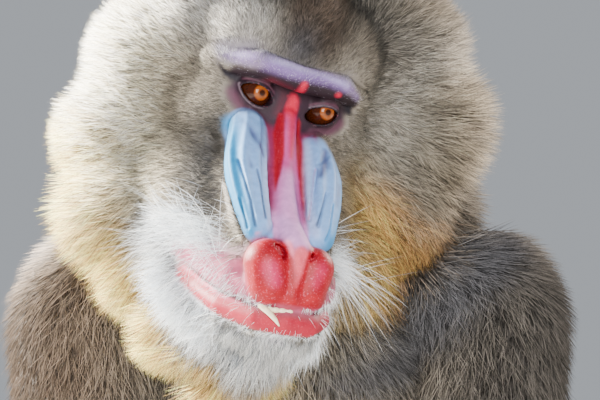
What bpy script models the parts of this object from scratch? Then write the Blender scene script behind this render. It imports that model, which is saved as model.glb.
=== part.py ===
"""Life-size adult male mandrill, sitting on the ground with its head turned and tilted.

Blender 4.5, metres, +Z up, the face towards -Y.  The animal's left side is at +X.
The body is modelled about the plane x = 0, the head in a frame of its own whose origin
lies midway between the eyeballs.  Every named body part is one closed object; where two
meet they keep GAP between their faces.  The whole stands on z = 0 with the middle of its
bounding box on the Z axis.
"""

import math
import random

import bmesh
import bpy
from mathutils import Matrix, Vector
from mathutils.bvhtree import BVHTree

# ------------------------------------------------------------------ driving dimensions
EYE_LEVEL = 0.600            # height of the point midway between the eyeballs
EYE_FORWARD = -0.155         # its place in front of the middle of the shoulders
HEAD_YAW = math.radians(20)  # face turned to the animal's left
HEAD_PITCH = math.radians(8)    # nose dropped
HEAD_ROLL = math.radians(19)    # crown leaning to the animal's left
MUZZLE_TWIST = math.radians(7)  # front of the muzzle leaning less than the eyes

EYE_SPACING = 0.045          # between the eyeballs' centres
EYE_RADIUS = 0.0105
LID_RADIUS = 0.0124
RUFF_FLARE = {"left": 1.62, "right": 1.0}   # the left side is pushed out by the shoulder
RIDGE_RIBS = 4               # raised ribs on each swelling beside the nose
LIP_PARTING = 0.0012         # between the upper and the lower lip

SHOULDER_WIDTH = 0.260       # between the shoulder joints
SHOULDER_HEIGHT = 0.455
HIP_WIDTH = 0.170
HIP_HEIGHT = 0.115

GAP = 0.00032                # clearance cut round a neighbouring part
CUT_GAP = 0.00040            # clearance between the two halves of a flat cut
LOCK_GAP = 0.00027           # clearance of a lock, just under GAP so that no cut is made twice
GAP_TRIES = (1.0, 0.92, 1.09, 0.85, 1.16)   # shares of a gap, tried until a part is clear
LEAST_LEFT = {"UNION": 1.0, "DIFFERENCE": 0.15, "INTERSECT": 0.05}   # share a Boolean keeps
SIDES = {"left": 1.0, "right": -1.0}

COAT_SHARE = 0.5             # how much of the coat's depth the cores under the locks fill

LOCK_CUTS = (0.33, 0.68)     # where a lock bends, as shares of its length
LOCK_SUNK = 0.007            # how deep its root lies in the core
LOCK_FLATNESS = 0.26         # its thickness against its width
LOCK_SEED = 7
MOST_TURN = 0.1              # least cosine between the skin's normals at a lock's two ends
RUFF_FRONT_LOCK = (0.056, 0.038, 0.012, 0.20)   # length, width, lift of the tip, stiffness
RUFF_RIM_LOCK = (0.058, 0.040, 0.016, 0.50)
BEARD_LOCK = (0.056, 0.028, 0.010, 0.90)
CREST_LOCK = (0.056, 0.030, 0.008, 0.20)
NAPE_LOCK = (0.084, 0.048, 0.016, 0.30)
CAPE_LOCK = (0.082, 0.056, 0.012, 0.20)
BREAST_LOCK = (0.066, 0.038, 0.014, 0.30)
ARM_LOCK = (0.076, 0.040, 0.010, 0.20)

HEAD_TRIANGLES = 2200        # fineness of the smooth forms
JAW_TRIANGLES = 700
RUFF_TRIANGLES = 270
TRUNK_TRIANGLES = 900
ARM_TRIANGLES = 260
LEG_TRIANGLES = 280
HAND_TRIANGLES = 340

# ------------------------------------------------------------------ colours
OLIVE = (0.150, 0.112, 0.062)
DARK_OLIVE = (0.070, 0.054, 0.036)
GOLD = (0.560, 0.390, 0.160)
CREAM = (0.700, 0.590, 0.420)
RED = (0.560, 0.035, 0.050)
SKIN_DARK = (0.045, 0.034, 0.036)
SKIN_PINK = (0.480, 0.190, 0.260)
IRIS = (0.300, 0.090, 0.015)
IVORY = (0.780, 0.700, 0.540)

PART = bpy.data.collections.new("mandrill")
TOOLS = bpy.data.collections.new("cutters")


# ------------------------------------------------------------------ frames
def head_frame():
    """The head's own frame: origin between the eyes, -Y out of the face, +Z to the crown."""
    turn = (Matrix.Rotation(HEAD_ROLL, 4, "Y")
            @ Matrix.Rotation(HEAD_PITCH, 4, "X")
            @ Matrix.Rotation(HEAD_YAW, 4, "Z"))
    return Matrix.Translation((0.0, EYE_FORWARD, EYE_LEVEL)) @ turn


HEAD = head_frame()
WORLD = Matrix.Identity(4)


# ------------------------------------------------------------------ simple closed masses
def ball(centre, radii, frame=WORLD, tilt=0.0):
    """An ellipsoid; radii is one number or three, tilt turns it about X."""
    if not isinstance(radii, tuple):
        radii = (radii, radii, radii)
    mesh = bmesh.new()
    bmesh.ops.create_icosphere(mesh, subdivisions=3, radius=1.0)
    place = (frame @ Matrix.Translation(centre) @ Matrix.Rotation(tilt, 4, "X")
             @ Matrix.Diagonal((*radii, 1.0)))
    mesh.transform(place)
    return mesh


def limb(start, end, radius, end_radius, frame=WORLD):
    """A tapered bar with round ends, the hull of two balls."""
    ends = bmesh.new()
    for point, size in ((start, radius), (end, end_radius)):
        bmesh.ops.create_icosphere(ends, subdivisions=2, radius=size,
                                   matrix=Matrix.Translation(point))
    mesh = bmesh.new()
    for vert in ends.verts:
        mesh.verts.new(vert.co)
    ends.free()
    hull = bmesh.ops.convex_hull(mesh, input=mesh.verts)
    spare = set(hull["geom_interior"]) | set(hull["geom_unused"])
    bmesh.ops.delete(mesh, geom=[item for item in spare if isinstance(item, bmesh.types.BMVert)],
                     context="VERTS")
    mesh.transform(frame)
    return mesh


def chain(points, radii, frame=WORLD):
    """Tapered bars along a row of points, one radius at each."""
    return [limb(a, b, ra, rb, frame)
            for a, b, ra, rb in zip(points, points[1:], radii, radii[1:])]


def coat(skin, depth):
    """The radius of a smooth form over skin of this radius with a coat this deep."""
    return skin + depth * COAT_SHARE


def mirrored(side, point):
    """A point given for the left side, moved to the side asked for."""
    return (point[0] * SIDES[side], point[1], point[2])


# ------------------------------------------------------------------ objects
def add_object(name, mesh, collection=PART):
    """A bmesh made into a mesh object."""
    data = bpy.data.meshes.new(name)
    mesh.to_mesh(data)
    mesh.free()
    result = bpy.data.objects.new(name, data)
    collection.objects.link(result)
    return result


def joined(meshes):
    """Several bmeshes in one, still separate bodies."""
    whole = bmesh.new()
    for piece in meshes:
        data = bpy.data.meshes.new("piece")
        piece.to_mesh(data)
        piece.free()
        whole.from_mesh(data)
        bpy.data.meshes.remove(data)
    return whole


def apply_modifiers(target):
    """Replace an object's mesh by what its modifiers make of it."""
    graph = bpy.context.evaluated_depsgraph_get()
    data = bpy.data.meshes.new_from_object(target.evaluated_get(graph))
    before = target.data
    target.modifiers.clear()
    target.data = data
    data.name = target.name
    bpy.data.meshes.remove(before)


def drop(target):
    """Remove an object and its mesh."""
    data = target.data
    bpy.data.objects.remove(target)
    bpy.data.meshes.remove(data)


def keep_largest(target):
    """Keep only the closed surface that holds the most."""
    mesh = bmesh.new()
    mesh.from_mesh(target.data)
    mesh.verts.ensure_lookup_table()
    shells = []
    seen = set()
    for start in mesh.verts:
        if start.index in seen:
            continue
        shell = [start]
        seen.add(start.index)
        for vert in shell:
            for edge in vert.link_edges:
                other = edge.other_vert(vert)
                if other.index not in seen:
                    seen.add(other.index)
                    shell.append(other)
        shells.append(shell)

    def area(shell):
        faces = {face for vert in shell for face in vert.link_faces}
        return sum(face.calc_area() for face in faces)

    shells.sort(key=area, reverse=True)
    spare = [vert for shell in shells[1:] for vert in shell]
    bmesh.ops.delete(mesh, geom=spare, context="VERTS")
    mesh.to_mesh(target.data)
    mesh.free()


def melt(target, voxel, smoothing):
    """Melt overlapping bodies into one closed skin and smooth it."""
    remesh = target.modifiers.new("melt", "REMESH")
    remesh.mode = "VOXEL"
    remesh.voxel_size = voxel
    smooth = target.modifiers.new("smooth", "SMOOTH")
    smooth.iterations = smoothing
    apply_modifiers(target)
    keep_largest(target)


def thin_out(target, triangles):
    """Bring a body down to about this many triangles."""
    corners = sum(len(face.vertices) - 2 for face in target.data.polygons)
    decimate = target.modifiers.new("decimate", "DECIMATE")
    decimate.ratio = min(1.0, triangles / corners)
    apply_modifiers(target)


def fuse(name, meshes, voxel, triangles, smoothing=4):
    """Melt overlapping masses into one smooth closed body of about this many triangles."""
    target = add_object(name, joined(meshes))
    melt(target, voxel, smoothing)
    thin_out(target, triangles)
    return target


def body_mesh(target):
    """The mesh of an object as a bmesh of its own; the object is removed."""
    mesh = bmesh.new()
    mesh.from_mesh(target.data)
    drop(target)
    return mesh


def content(data):
    """The volume of a mesh, or 0 where it has an open edge."""
    mesh = bmesh.new()
    mesh.from_mesh(data)
    closed = bool(mesh.faces) and all(edge.is_manifold for edge in mesh.edges)
    result = mesh.calc_volume() if closed else 0.0
    mesh.free()
    return result


def combine(target, tools, operation):
    """One Boolean of the target with all the tool objects, which are then removed.

    Where no solver gives a closed body, the target stays as it was.
    """
    group = bpy.data.collections.new("operands")
    bpy.context.scene.collection.children.link(group)
    for tool in tools:
        for holder in list(tool.users_collection):
            holder.objects.unlink(tool)
        group.objects.link(tool)
        tool.hide_render = True
        tool.display_type = "WIRE"
    before = target.data.copy()
    least = content(before) * LEAST_LEFT[operation]
    for solver in ("EXACT", "MANIFOLD"):
        step = target.modifiers.new("combine", "BOOLEAN")
        step.operation = operation
        step.operand_type = "COLLECTION"
        step.collection = group
        step.solver = solver
        apply_modifiers(target)
        if content(target.data) > least:
            break
        target.data = before.copy()
    bpy.data.meshes.remove(before)
    for tool in tools:
        drop(tool)
    bpy.data.collections.remove(group)
    keep_largest(target)


def swollen(source, amount):
    """A copy of a part whose faces stand out by this amount."""
    mesh = bmesh.new()
    mesh.from_mesh(source.data)
    mesh.normal_update()
    moves = [(vert, vert.normal * amount * min(1.4, vert.calc_shell_factor()))
             for vert in mesh.verts]
    for vert, move in moves:
        vert.co += move
    return add_object(source.name + "_space", mesh, TOOLS)


def bounds(target):
    """Lowest and highest corner of a mesh."""
    points = [vert.co for vert in target.data.vertices]
    low = Vector(min(p[i] for p in points) for i in range(3))
    high = Vector(max(p[i] for p in points) for i in range(3))
    return low, high


def surface(target):
    """A search tree over the faces of a part."""
    data = target.data
    return BVHTree.FromPolygons([vert.co for vert in data.vertices],
                                [tuple(face.vertices) for face in data.polygons])


def surface_of_all(parts):
    """A search tree over the faces of all the parts together."""
    points = []
    faces = []
    for part in parts:
        base = len(points)
        points += [vert.co for vert in part.data.vertices]
        faces += [tuple(base + index for index in face.vertices) for face in part.data.polygons]
    return BVHTree.FromPolygons(points, faces)


def comes_near(part, other, gap):
    """Whether two parts come nearer than this gap, or overlap."""
    probe = swollen(other, gap)
    near = bool(surface(part).overlap(surface(probe)))
    drop(probe)
    return near


def keep_clear(part, other, gap):
    """Cut a part back to a gap from another where it comes nearer than half of that."""
    for share in GAP_TRIES:
        if not comes_near(part, other, gap / 2):
            break
        combine(part, [swollen(other, gap * share)], "DIFFERENCE")


def part_from_neighbours(parts):
    """Cut each part clear of those before it in the list."""
    for index, part in enumerate(parts):
        for other in parts[:index]:
            keep_clear(part, other, GAP)


def cut_flat(part):
    """Cut off what lies below the ground."""
    mesh = bmesh.new()
    bmesh.ops.create_cube(mesh, size=2.0, matrix=Matrix.Translation((0.0, 0.0, -1.0)))
    combine(part, [add_object("ground", mesh, TOOLS)], "DIFFERENCE")


def trim(part, point, normal):
    """Cut a part flat and keep what lies behind the plane."""
    mesh = bmesh.new()
    mesh.from_mesh(part.data)
    geometry = mesh.verts[:] + mesh.edges[:] + mesh.faces[:]
    cut = bmesh.ops.bisect_plane(mesh, geom=geometry, plane_co=point, plane_no=normal,
                                 clear_outer=True, dist=1e-6)
    rim = [item for item in cut["geom_cut"] if isinstance(item, bmesh.types.BMEdge)]
    if rim:
        bmesh.ops.edgeloop_fill(mesh, edges=rim)
    bmesh.ops.triangulate(mesh, faces=mesh.faces)
    bmesh.ops.recalc_face_normals(mesh, faces=mesh.faces)
    mesh.to_mesh(part.data)
    mesh.free()
    keep_largest(part)


def copy_of(source, name):
    """A second object with its own copy of the mesh."""
    result = bpy.data.objects.new(name, source.data.copy())
    PART.objects.link(result)
    return result


# ------------------------------------------------------------------ head
EYE_AT = (EYE_SPACING / 2, 0.0015, -0.0015)
MOUTH_CORNER = (0.038, -0.037, -0.1085)
TWIST_PIVOT = Vector((0.0, 0.0, -0.075))


def muzzle_twist(target):
    """Turn the front of the muzzle a little about its own length, as in a wry look."""
    inverse = HEAD.inverted()
    for vert in target.data.vertices:
        point = inverse @ vert.co
        share = min(1.0, max(0.0, (-0.020 - point.y) / 0.070))
        share = share * share * (3 - 2 * share)
        point = Matrix.Rotation(-MUZZLE_TWIST * share, 3, "Y") @ (point - TWIST_PIVOT)
        vert.co = HEAD @ (point + TWIST_PIVOT)


def lip_line(x, y):
    """Height of the line between the lips, across and along the head."""
    back = max(0.0, y - MOUTH_CORNER[1])
    bow = 0.0012 * math.cos(x / 0.008) * max(0.0, 1 - abs(x) / 0.030)
    return -0.1070 - 0.0018 * math.exp(-((y + 0.055) / 0.03) ** 2) + bow + 0.34 * back


def face_masses():
    """Brow, eye surrounds, cheek bones and muzzle of the head, without the lower jaw."""
    masses = [
        ball((0, 0.062, 0.022), (coat(0.056, 0.012), coat(0.064, 0.008), coat(0.050, 0.012)), HEAD),
        ball((0, 0.016, -0.014), (0.046, 0.026, 0.036), HEAD),
        ball((0, 0.040, -0.055), (0.050, 0.045, 0.045), HEAD),
        ball((0, 0.0, -0.005), (0.012, 0.0095, 0.012), HEAD),
        *chain([(0, -0.002, -0.048), (0, -0.045, -0.076), (0, -0.084, -0.090)],
               [0.034, 0.031, 0.025], HEAD),
    ]
    for side in SIDES:
        masses += [
            ball(mirrored(side, (0.038, 0.018, -0.006)), (0.020, 0.018, 0.018), HEAD),
            ball(mirrored(side, (0.027, 0.008, -0.021)), (0.020, 0.014, 0.012), HEAD),
            ball(mirrored(side, (0.044, 0.040, -0.020)), (coat(0.022, 0.008), 0.036, 0.036), HEAD),
            ball(mirrored(side, (0.034, 0.040, 0.026)), (coat(0.028, 0.010), 0.042, 0.034), HEAD),
            *chain([mirrored(side, point) for point in
                    [(0.040, 0.030, -0.062), (0.031, -0.035, -0.092), (0.025, -0.082, -0.098)]],
                   [0.032, 0.019, 0.014], HEAD),
        ]
    return masses


def brow_masses():
    """The bar of bare skin over the eyes."""
    return chain([(-0.052, 0.012, 0.012), (-0.028, -0.009, 0.0175), (0, -0.011, 0.0155),
                  (0.028, -0.009, 0.0175), (0.052, 0.012, 0.012)],
                 [0.0082, 0.0090, 0.0086, 0.0090, 0.0082], HEAD)


def ridge_masses():
    """The swellings on both sides of the nose, each with its long ribs."""
    masses = []
    spine = [(0.0250, -0.008, -0.0255), (0.0265, -0.037, -0.0410),
             (0.0248, -0.061, -0.0550), (0.0210, -0.082, -0.0680)]
    girths = [0.0105, 0.0128, 0.0118, 0.0098]
    for side in SIDES:
        masses += chain([mirrored(side, point) for point in spine], girths, HEAD)
        for rib in range(RIDGE_RIBS):
            across = math.radians(-62 + 124 * rib / (RIDGE_RIBS - 1))
            path = []
            for (x, y, z), girth in zip(spine, girths):
                lift = girth * 0.93
                path.append((x + lift * math.sin(across),
                             y - 0.50 * lift * math.cos(across),
                             z + 0.86 * lift * math.cos(across)))
            masses += chain([mirrored(side, point) for point in path],
                            [0.0016, 0.0028, 0.0027, 0.0016], HEAD)
    return masses


def nose_masses():
    """Bridge, the two round nose lobes and the wall between the nostrils."""
    masses = chain([(0, -0.007, -0.011), (0, -0.033, -0.037), (0, -0.078, -0.065),
                    (0, -0.100, -0.076)],
                   [0.0070, 0.0064, 0.0080, 0.0112], HEAD)
    masses += chain([(0, -0.104, -0.080), (0, -0.110, -0.093), (0, -0.112, -0.100)],
                    [0.0085, 0.0060, 0.0055], HEAD)
    for side in SIDES:
        masses += chain([mirrored(side, point) for point in
                         [(0.0150, -0.100, -0.0840), (0.0135, -0.106, -0.0960)]],
                        [0.0145, 0.0125], HEAD)
    return masses


def crest_masses():
    """The swept-up hair of the crown."""
    return chain([(0, 0.020, 0.050), (0, 0.054, 0.068), (0, 0.094, 0.062)],
                 [coat(0.018, 0.010), coat(0.022, 0.016), coat(0.026, 0.016)], HEAD)


def lid_cutters():
    """The almond openings between the lids."""
    cutters = []
    for side in SIDES:
        x, y, z = mirrored(side, EYE_AT)
        slit = ball((x, y - 0.0125, z - 0.0012), (0.0098, 0.0120, 0.0054), HEAD)
        cutters.append(add_object("lid_opening", slit, TOOLS))
    return cutters


def nostril_cutters():
    """Openings of the nostrils, running back into the lobes."""
    cutters = []
    for side in SIDES:
        hole = limb(mirrored(side, (0.0095, -0.122, -0.0800)),
                    mirrored(side, (0.0110, -0.104, -0.0790)), 0.0044, 0.0030, HEAD)
        cutters.append(add_object("nostril", hole, TOOLS))
    return cutters


def lower_block(offset):
    """Everything of the head below the line of the mouth."""
    mesh = bmesh.new()
    bmesh.ops.create_grid(mesh, x_segments=28, y_segments=28, size=0.14)
    for vert in mesh.verts:
        vert.co.z = lip_line(vert.co.x, vert.co.y) + offset
    bmesh.ops.triangulate(mesh, faces=mesh.faces)
    rim = [edge for edge in mesh.edges if edge.is_boundary]
    grown = bmesh.ops.extrude_edge_only(mesh, edges=rim)
    for item in grown["geom"]:
        if isinstance(item, bmesh.types.BMVert):
            item.co.z = -0.30
    floor_rim = [item for item in grown["geom"]
                 if isinstance(item, bmesh.types.BMEdge) and item.is_boundary]
    bmesh.ops.edgeloop_fill(mesh, edges=floor_rim)
    bmesh.ops.triangulate(mesh, faces=mesh.faces)
    bmesh.ops.recalc_face_normals(mesh, faces=mesh.faces)
    mesh.transform(HEAD)
    return add_object("below_mouth", mesh, TOOLS)


def beard_masses():
    """Lower jaw with its lip, chin and beard."""
    masses = [
        ball((0, -0.084, -0.124), (0.025, 0.025, 0.015), HEAD),
        ball((0, -0.030, -0.122), (0.036, 0.055, 0.018), HEAD),
        *chain([(0, -0.094, -0.128), (0, -0.080, -0.148), (0, -0.048, -0.174)],
               [coat(0.010, 0.010), coat(0.012, 0.016), coat(0.010, 0.020)], HEAD),
    ]
    for side in SIDES:
        masses += chain([mirrored(side, point) for point in
                         [(0.020, -0.080, -0.125), (0.032, -0.036, -0.124),
                          (0.042, 0.030, -0.094)]],
                        [0.013, 0.017, 0.024], HEAD)
        masses += chain([mirrored(side, point) for point in
                         [(0.018, -0.060, -0.144), (0.030, -0.016, -0.154)]],
                        [coat(0.012, 0.014), coat(0.014, 0.020)], HEAD)
    return masses


def lip_masses():
    """Upper and lower lip, thick along the line of the mouth."""
    masses = []
    for side in SIDES:
        for height, girths in ((-0.1000, [0.0068, 0.0080, 0.0085, 0.0085]),
                               (-0.1165, [0.0070, 0.0080, 0.0085, 0.0085])):
            path = [(0.037, -0.037, height - 0.0015), (0.030, -0.080, height),
                    (0.015, -0.104, height + 0.0010), (0.0, -0.108, height + 0.0015)]
            masses += chain([mirrored(side, point) for point in path], girths, HEAD)
    return masses


def ruff_masses():
    """The swept cheek whiskers, from the temples to below the jaw."""
    masses = []
    for side in SIDES:
        for centre, skin, depth, flared in [
                ((0.048, 0.062, 0.040), (0.036, 0.034, 0.034), (0.028, 0.010, 0.020), 1.0),
                ((0.064, 0.066, -0.004), (0.038, 0.034, 0.046), (0.034, 0.010, 0.010), 1.0),
                ((0.066, 0.060, -0.050), (0.038, 0.034, 0.044), (0.034, 0.010, 0.010), 0.8),
                ((0.056, 0.046, -0.092), (0.036, 0.034, 0.036), (0.034, 0.010, 0.020), 0.5),
                ((0.032, 0.026, -0.124), (0.034, 0.034, 0.026), (0.024, 0.010, 0.026), 0.3)]:
            x, y, z = centre
            x *= 1.0 + (RUFF_FLARE[side] - 1.0) * flared
            radii = tuple(coat(s, d) for s, d in zip(skin, depth))
            masses.append(ball(mirrored(side, (x, y, z)), radii, HEAD))
    return masses


# the planes that part the head, in its own frame: a point and a normal to what is beyond
RUFF_PLANE = ((0.054, 0.050, 0.0), (0.985, 0.17, 0.0))
NECK_PLANE = ((0, 0.108, -0.020), (0, 0.85, -0.53))


def head_plane(plane, side="left"):
    """A parting plane of the head as a world point and normal."""
    point, normal = plane
    turn = HEAD.to_3x3()
    return (HEAD @ Vector(mirrored(side, point)),
            (turn @ Vector(mirrored(side, normal))).normalized())


def keep_side(part, plane, side="left", beyond=False):
    """Trim a part at a parting plane, half the gap away from it."""
    point, normal = head_plane(plane, side)
    if beyond:
        normal = -normal
    trim(part, point - normal * CUT_GAP / 2, normal)


def whole_head():
    """Head, ruff, jaw and beard in one skin, soft under the coat and crisp on the face."""
    soft = add_object("soft", joined(face_masses() + ruff_masses() + beard_masses()
                                     + crest_masses() + neck_masses()))
    melt(soft, 0.0032, 44)
    crisp = (brow_masses() + ridge_masses() + nose_masses() + lip_masses()
             + [ball(mirrored(side, EYE_AT), LID_RADIUS, HEAD) for side in SIDES])
    head = add_object("whole_head", joined([body_mesh(soft)] + crisp))
    melt(head, 0.0016, 2)
    combine(head, lid_cutters() + nostril_cutters(), "DIFFERENCE")
    return head


def make_head_parts():
    """Head, jaw and the two ruffs, parted from one whole by thin cuts."""
    whole = whole_head()
    parts = []
    for name, offset, operation, triangles in (
            ("head", 0.0, "DIFFERENCE", HEAD_TRIANGLES),
            ("jaw", -LIP_PARTING, "INTERSECT", JAW_TRIANGLES)):
        part = copy_of(whole, name)
        combine(part, [lower_block(offset)], operation)
        keep_side(part, NECK_PLANE)
        for side in SIDES:
            keep_side(part, RUFF_PLANE, side)
        thin_out(part, triangles)
        parts.append(part)
    for side in SIDES:
        ruff = copy_of(whole, "ruff_" + side)
        keep_side(ruff, NECK_PLANE)
        keep_side(ruff, RUFF_PLANE, side, beyond=True)
        thin_out(ruff, RUFF_TRIANGLES)
        parts.append(ruff)
    drop(whole)
    for part in parts:
        muzzle_twist(part)
    return parts


def make_eye(side):
    """One eyeball with the bulge of its cornea."""
    mesh = bmesh.new()
    bmesh.ops.create_uvsphere(mesh, u_segments=12, v_segments=7, radius=EYE_RADIUS)
    for vert in mesh.verts:
        along = vert.co.normalized().z
        if along > 0.85:
            vert.co.z += 0.0008 * math.sin((along - 0.85) / 0.15 * math.pi / 2)
    gaze = Matrix.Rotation(math.radians(90), 4, "X")
    mesh.transform(HEAD @ Matrix.Translation(mirrored(side, EYE_AT)) @ gaze)
    return add_object("eye_" + side, mesh)


def make_ear(side):
    """One ear: a rounded leaf with its hollow facing out and forward."""
    sign = SIDES[side]
    frame = (HEAD @ Matrix.Translation(mirrored(side, (0.088, 0.108, 0.018)))
             @ Matrix.Rotation(sign * math.radians(30), 4, "Z"))
    masses = [ball((0, 0, 0), (0.0160, 0.0070, 0.0240), frame),
              limb((0, 0.002, -0.003), (-0.040 * sign, 0.008, -0.006), 0.0100, 0.0130, frame)]
    ear = fuse("ear_" + side, masses, 0.0014, 130, smoothing=3)
    hollow = ball((0.003 * sign, -0.0085, 0.001), (0.0108, 0.0095, 0.0185), frame)
    combine(ear, [add_object("ear_cup", hollow, TOOLS)], "DIFFERENCE")
    return ear


def make_teeth():
    """The right upper canine over the lower lip, and the edges of the front teeth."""
    tusk = bmesh.new()
    bmesh.ops.create_cone(tusk, cap_ends=True, segments=10, radius1=0.0030, radius2=0.0006,
                          depth=0.0170)
    lean = Matrix.Rotation(math.radians(-48), 4, "Y") @ Matrix.Rotation(math.radians(190), 4, "X")
    tusk.transform(HEAD @ Matrix.Translation((-0.0150, -0.1150, -0.1120)) @ lean)
    canine = add_object("tooth_canine_right", tusk)
    rows = [ball((-0.0130 + 0.0050 * index, -0.1085, -0.1070), (0.0028, 0.0022, 0.0034), HEAD)
            for index in range(5)]
    front = fuse("teeth_front", rows, 0.0007, 110, smoothing=1)
    for piece in (canine, front):
        muzzle_twist(piece)
    return [canine, front]


# ------------------------------------------------------------------ trunk
TRUNK_CUTS = {                       # a point and an upward normal for each cut
    "neck": ((0, 0.020, 0.492), (0, -0.34, 1.0)),
    "chest": ((0, 0.110, 0.285), (0, -0.45, 1.0)),
    "belly": ((0, 0.170, 0.165), (0, -0.60, 1.0)),
}


def neck_masses():
    """Neck with the mane of the nape, from the skull down to the shoulders."""
    nape = HEAD @ Vector((0, 0.100, -0.010))
    base = Vector((0.0, 0.035, 0.490))
    return [
        *chain([nape, nape.lerp(base, 0.5), base],
               [coat(0.050, 0.022), coat(0.064, 0.028), coat(0.084, 0.026)]),
        ball((0, 0.004, 0.530), (coat(0.112, 0.030), coat(0.070, 0.022), coat(0.060, 0.020))),
        ball((0, -0.040, 0.500), (coat(0.070, 0.020), coat(0.046, 0.022), coat(0.060, 0.015))),
    ]


def trunk_masses():
    """The whole trunk from the nape to the rump, with its coat."""
    masses = neck_masses() + [
        ball((0, 0.060, 0.375), (coat(0.112, 0.014), coat(0.118, 0.014), 0.140)),
        ball((0, 0.045, 0.455), (coat(0.118, 0.018), coat(0.088, 0.022), coat(0.072, 0.010))),
        ball((0, -0.025, 0.425), (coat(0.080, 0.016), coat(0.052, 0.028), 0.080)),
        ball((0, 0.110, 0.310), (coat(0.108, 0.012), coat(0.114, 0.014), 0.120)),
        ball((0, 0.130, 0.240), (coat(0.112, 0.012), coat(0.108, 0.014), 0.120)),
        ball((0, 0.075, 0.200), (coat(0.088, 0.010), coat(0.070, 0.010), 0.085)),
        ball((0, 0.195, 0.150), (coat(0.108, 0.010), coat(0.092, 0.012), coat(0.116, 0.006))),
        ball((0, 0.150, 0.085), (0.085, 0.080, 0.070)),
    ]
    for side in SIDES:
        masses.append(ball(mirrored(side, (0.108, 0.008, 0.466)),
                           (coat(0.062, 0.020), coat(0.058, 0.016), coat(0.054, 0.018))))
        masses.append(ball(mirrored(side, (0.044, 0.205, 0.030)), (0.042, 0.050, 0.036)))
    return masses


def make_trunk():
    """Neck, chest, belly and pelvis, parted from one smooth trunk by thin flat cuts."""
    trunk = fuse("whole_trunk", trunk_masses(), 0.0060, TRUNK_TRIANGLES, smoothing=18)
    names = ["neck", "chest", "belly", "pelvis"]
    parts = []
    for index, name in enumerate(names):
        part = copy_of(trunk, name)
        if index > 0:
            point, normal = TRUNK_CUTS[names[index - 1]]
            normal = Vector(normal).normalized()
            trim(part, Vector(point) - normal * CUT_GAP / 2, normal)
        if index < len(names) - 1:
            point, normal = TRUNK_CUTS[name]
            normal = Vector(normal).normalized()
            trim(part, Vector(point) + normal * CUT_GAP / 2, -normal)
        parts.append(part)
    drop(trunk)
    keep_side(parts[0], NECK_PLANE, beyond=True)
    cut_flat(parts[-1])
    return parts


def make_tail():
    """The stump tail, held up behind."""
    masses = chain([(0, 0.262, 0.175), (0, 0.300, 0.200), (0.003, 0.318, 0.236)],
                   [coat(0.016, 0.008), coat(0.012, 0.009), coat(0.006, 0.006)])
    return fuse("tail", masses, 0.0030, 140)


# ------------------------------------------------------------------ limbs
SHOULDER = (SHOULDER_WIDTH / 2, -0.008, SHOULDER_HEIGHT)
ELBOW = (0.132, -0.072, 0.262)
WRIST = (0.080, -0.176, 0.052)
KNUCKLES = (0.066, -0.250, 0.020)
HIP = (HIP_WIDTH / 2, 0.160, HIP_HEIGHT)
KNEE = (0.205, -0.010, 0.235)
ANKLE = (0.178, 0.004, 0.046)
HEEL = (0.172, 0.030, 0.024)
BALL_OF_FOOT = (0.196, -0.105, 0.018)


def between(start, end, share):
    """A point part of the way from one to another."""
    return tuple(Vector(start).lerp(Vector(end), share))


def parted_limb(names, whole, joint, before, after):
    """Part a whole limb at its middle joint, across the bend."""
    joint = Vector(joint)
    across = ((joint - Vector(before)).normalized() + (Vector(after) - joint).normalized())
    across.normalize()
    upper = copy_of(whole, names[0])
    lower = copy_of(whole, names[1])
    trim(upper, joint - across * CUT_GAP / 2, across)
    trim(lower, joint + across * CUT_GAP / 2, -across)
    drop(whole)
    return [upper, lower]


def make_arm(side):
    """Upper arm and forearm, parted at the elbow."""
    points = [SHOULDER, between(SHOULDER, ELBOW, 0.5), ELBOW, between(ELBOW, WRIST, 0.35), WRIST]
    points = [mirrored(side, point) for point in points]
    radii = [coat(0.050, 0.020), coat(0.042, 0.018), coat(0.033, 0.014), coat(0.034, 0.014),
             coat(0.021, 0.006)]
    arm = fuse("arm", chain(points, radii), 0.0045, ARM_TRIANGLES, smoothing=12)
    return parted_limb(["upper_arm_" + side, "forearm_" + side], arm,
                       points[2], points[1], points[3])


def make_leg(side):
    """Thigh and lower leg, parted at the raised knee."""
    points = [HIP, between(HIP, KNEE, 0.45), KNEE, between(KNEE, ANKLE, 0.4), ANKLE]
    points = [mirrored(side, point) for point in points]
    radii = [coat(0.080, 0.008), coat(0.064, 0.012), coat(0.036, 0.012), coat(0.035, 0.012),
             coat(0.020, 0.006)]
    leg = fuse("leg", chain(points, radii), 0.0050, LEG_TRIANGLES, smoothing=12)
    return parted_limb(["thigh_" + side, "shank_" + side], leg, points[2], points[1], points[3])


def digits(side, base, heading, spread, lengths, radius, gap):
    """Four fingers or toes side by side, each bent down to the ground."""
    masses = []
    count = len(lengths)
    for index, length in enumerate(lengths):
        across = (index - (count - 1) / 2) * gap
        angle = heading + (index - (count - 1) / 2) * spread
        way = Vector((math.sin(angle), -math.cos(angle), 0.0))
        root = Vector(base) + Vector((across, 0.0, 0.0))
        knuckle = root + way * length * 0.45 + Vector((0, 0, 0.004))
        tip = root + way * length
        tip.z = radius * 0.72
        masses += chain([mirrored(side, point) for point in (root, knuckle, tip)],
                        [radius * 1.15, radius * 1.05, radius * 0.85])
    return masses


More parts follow.
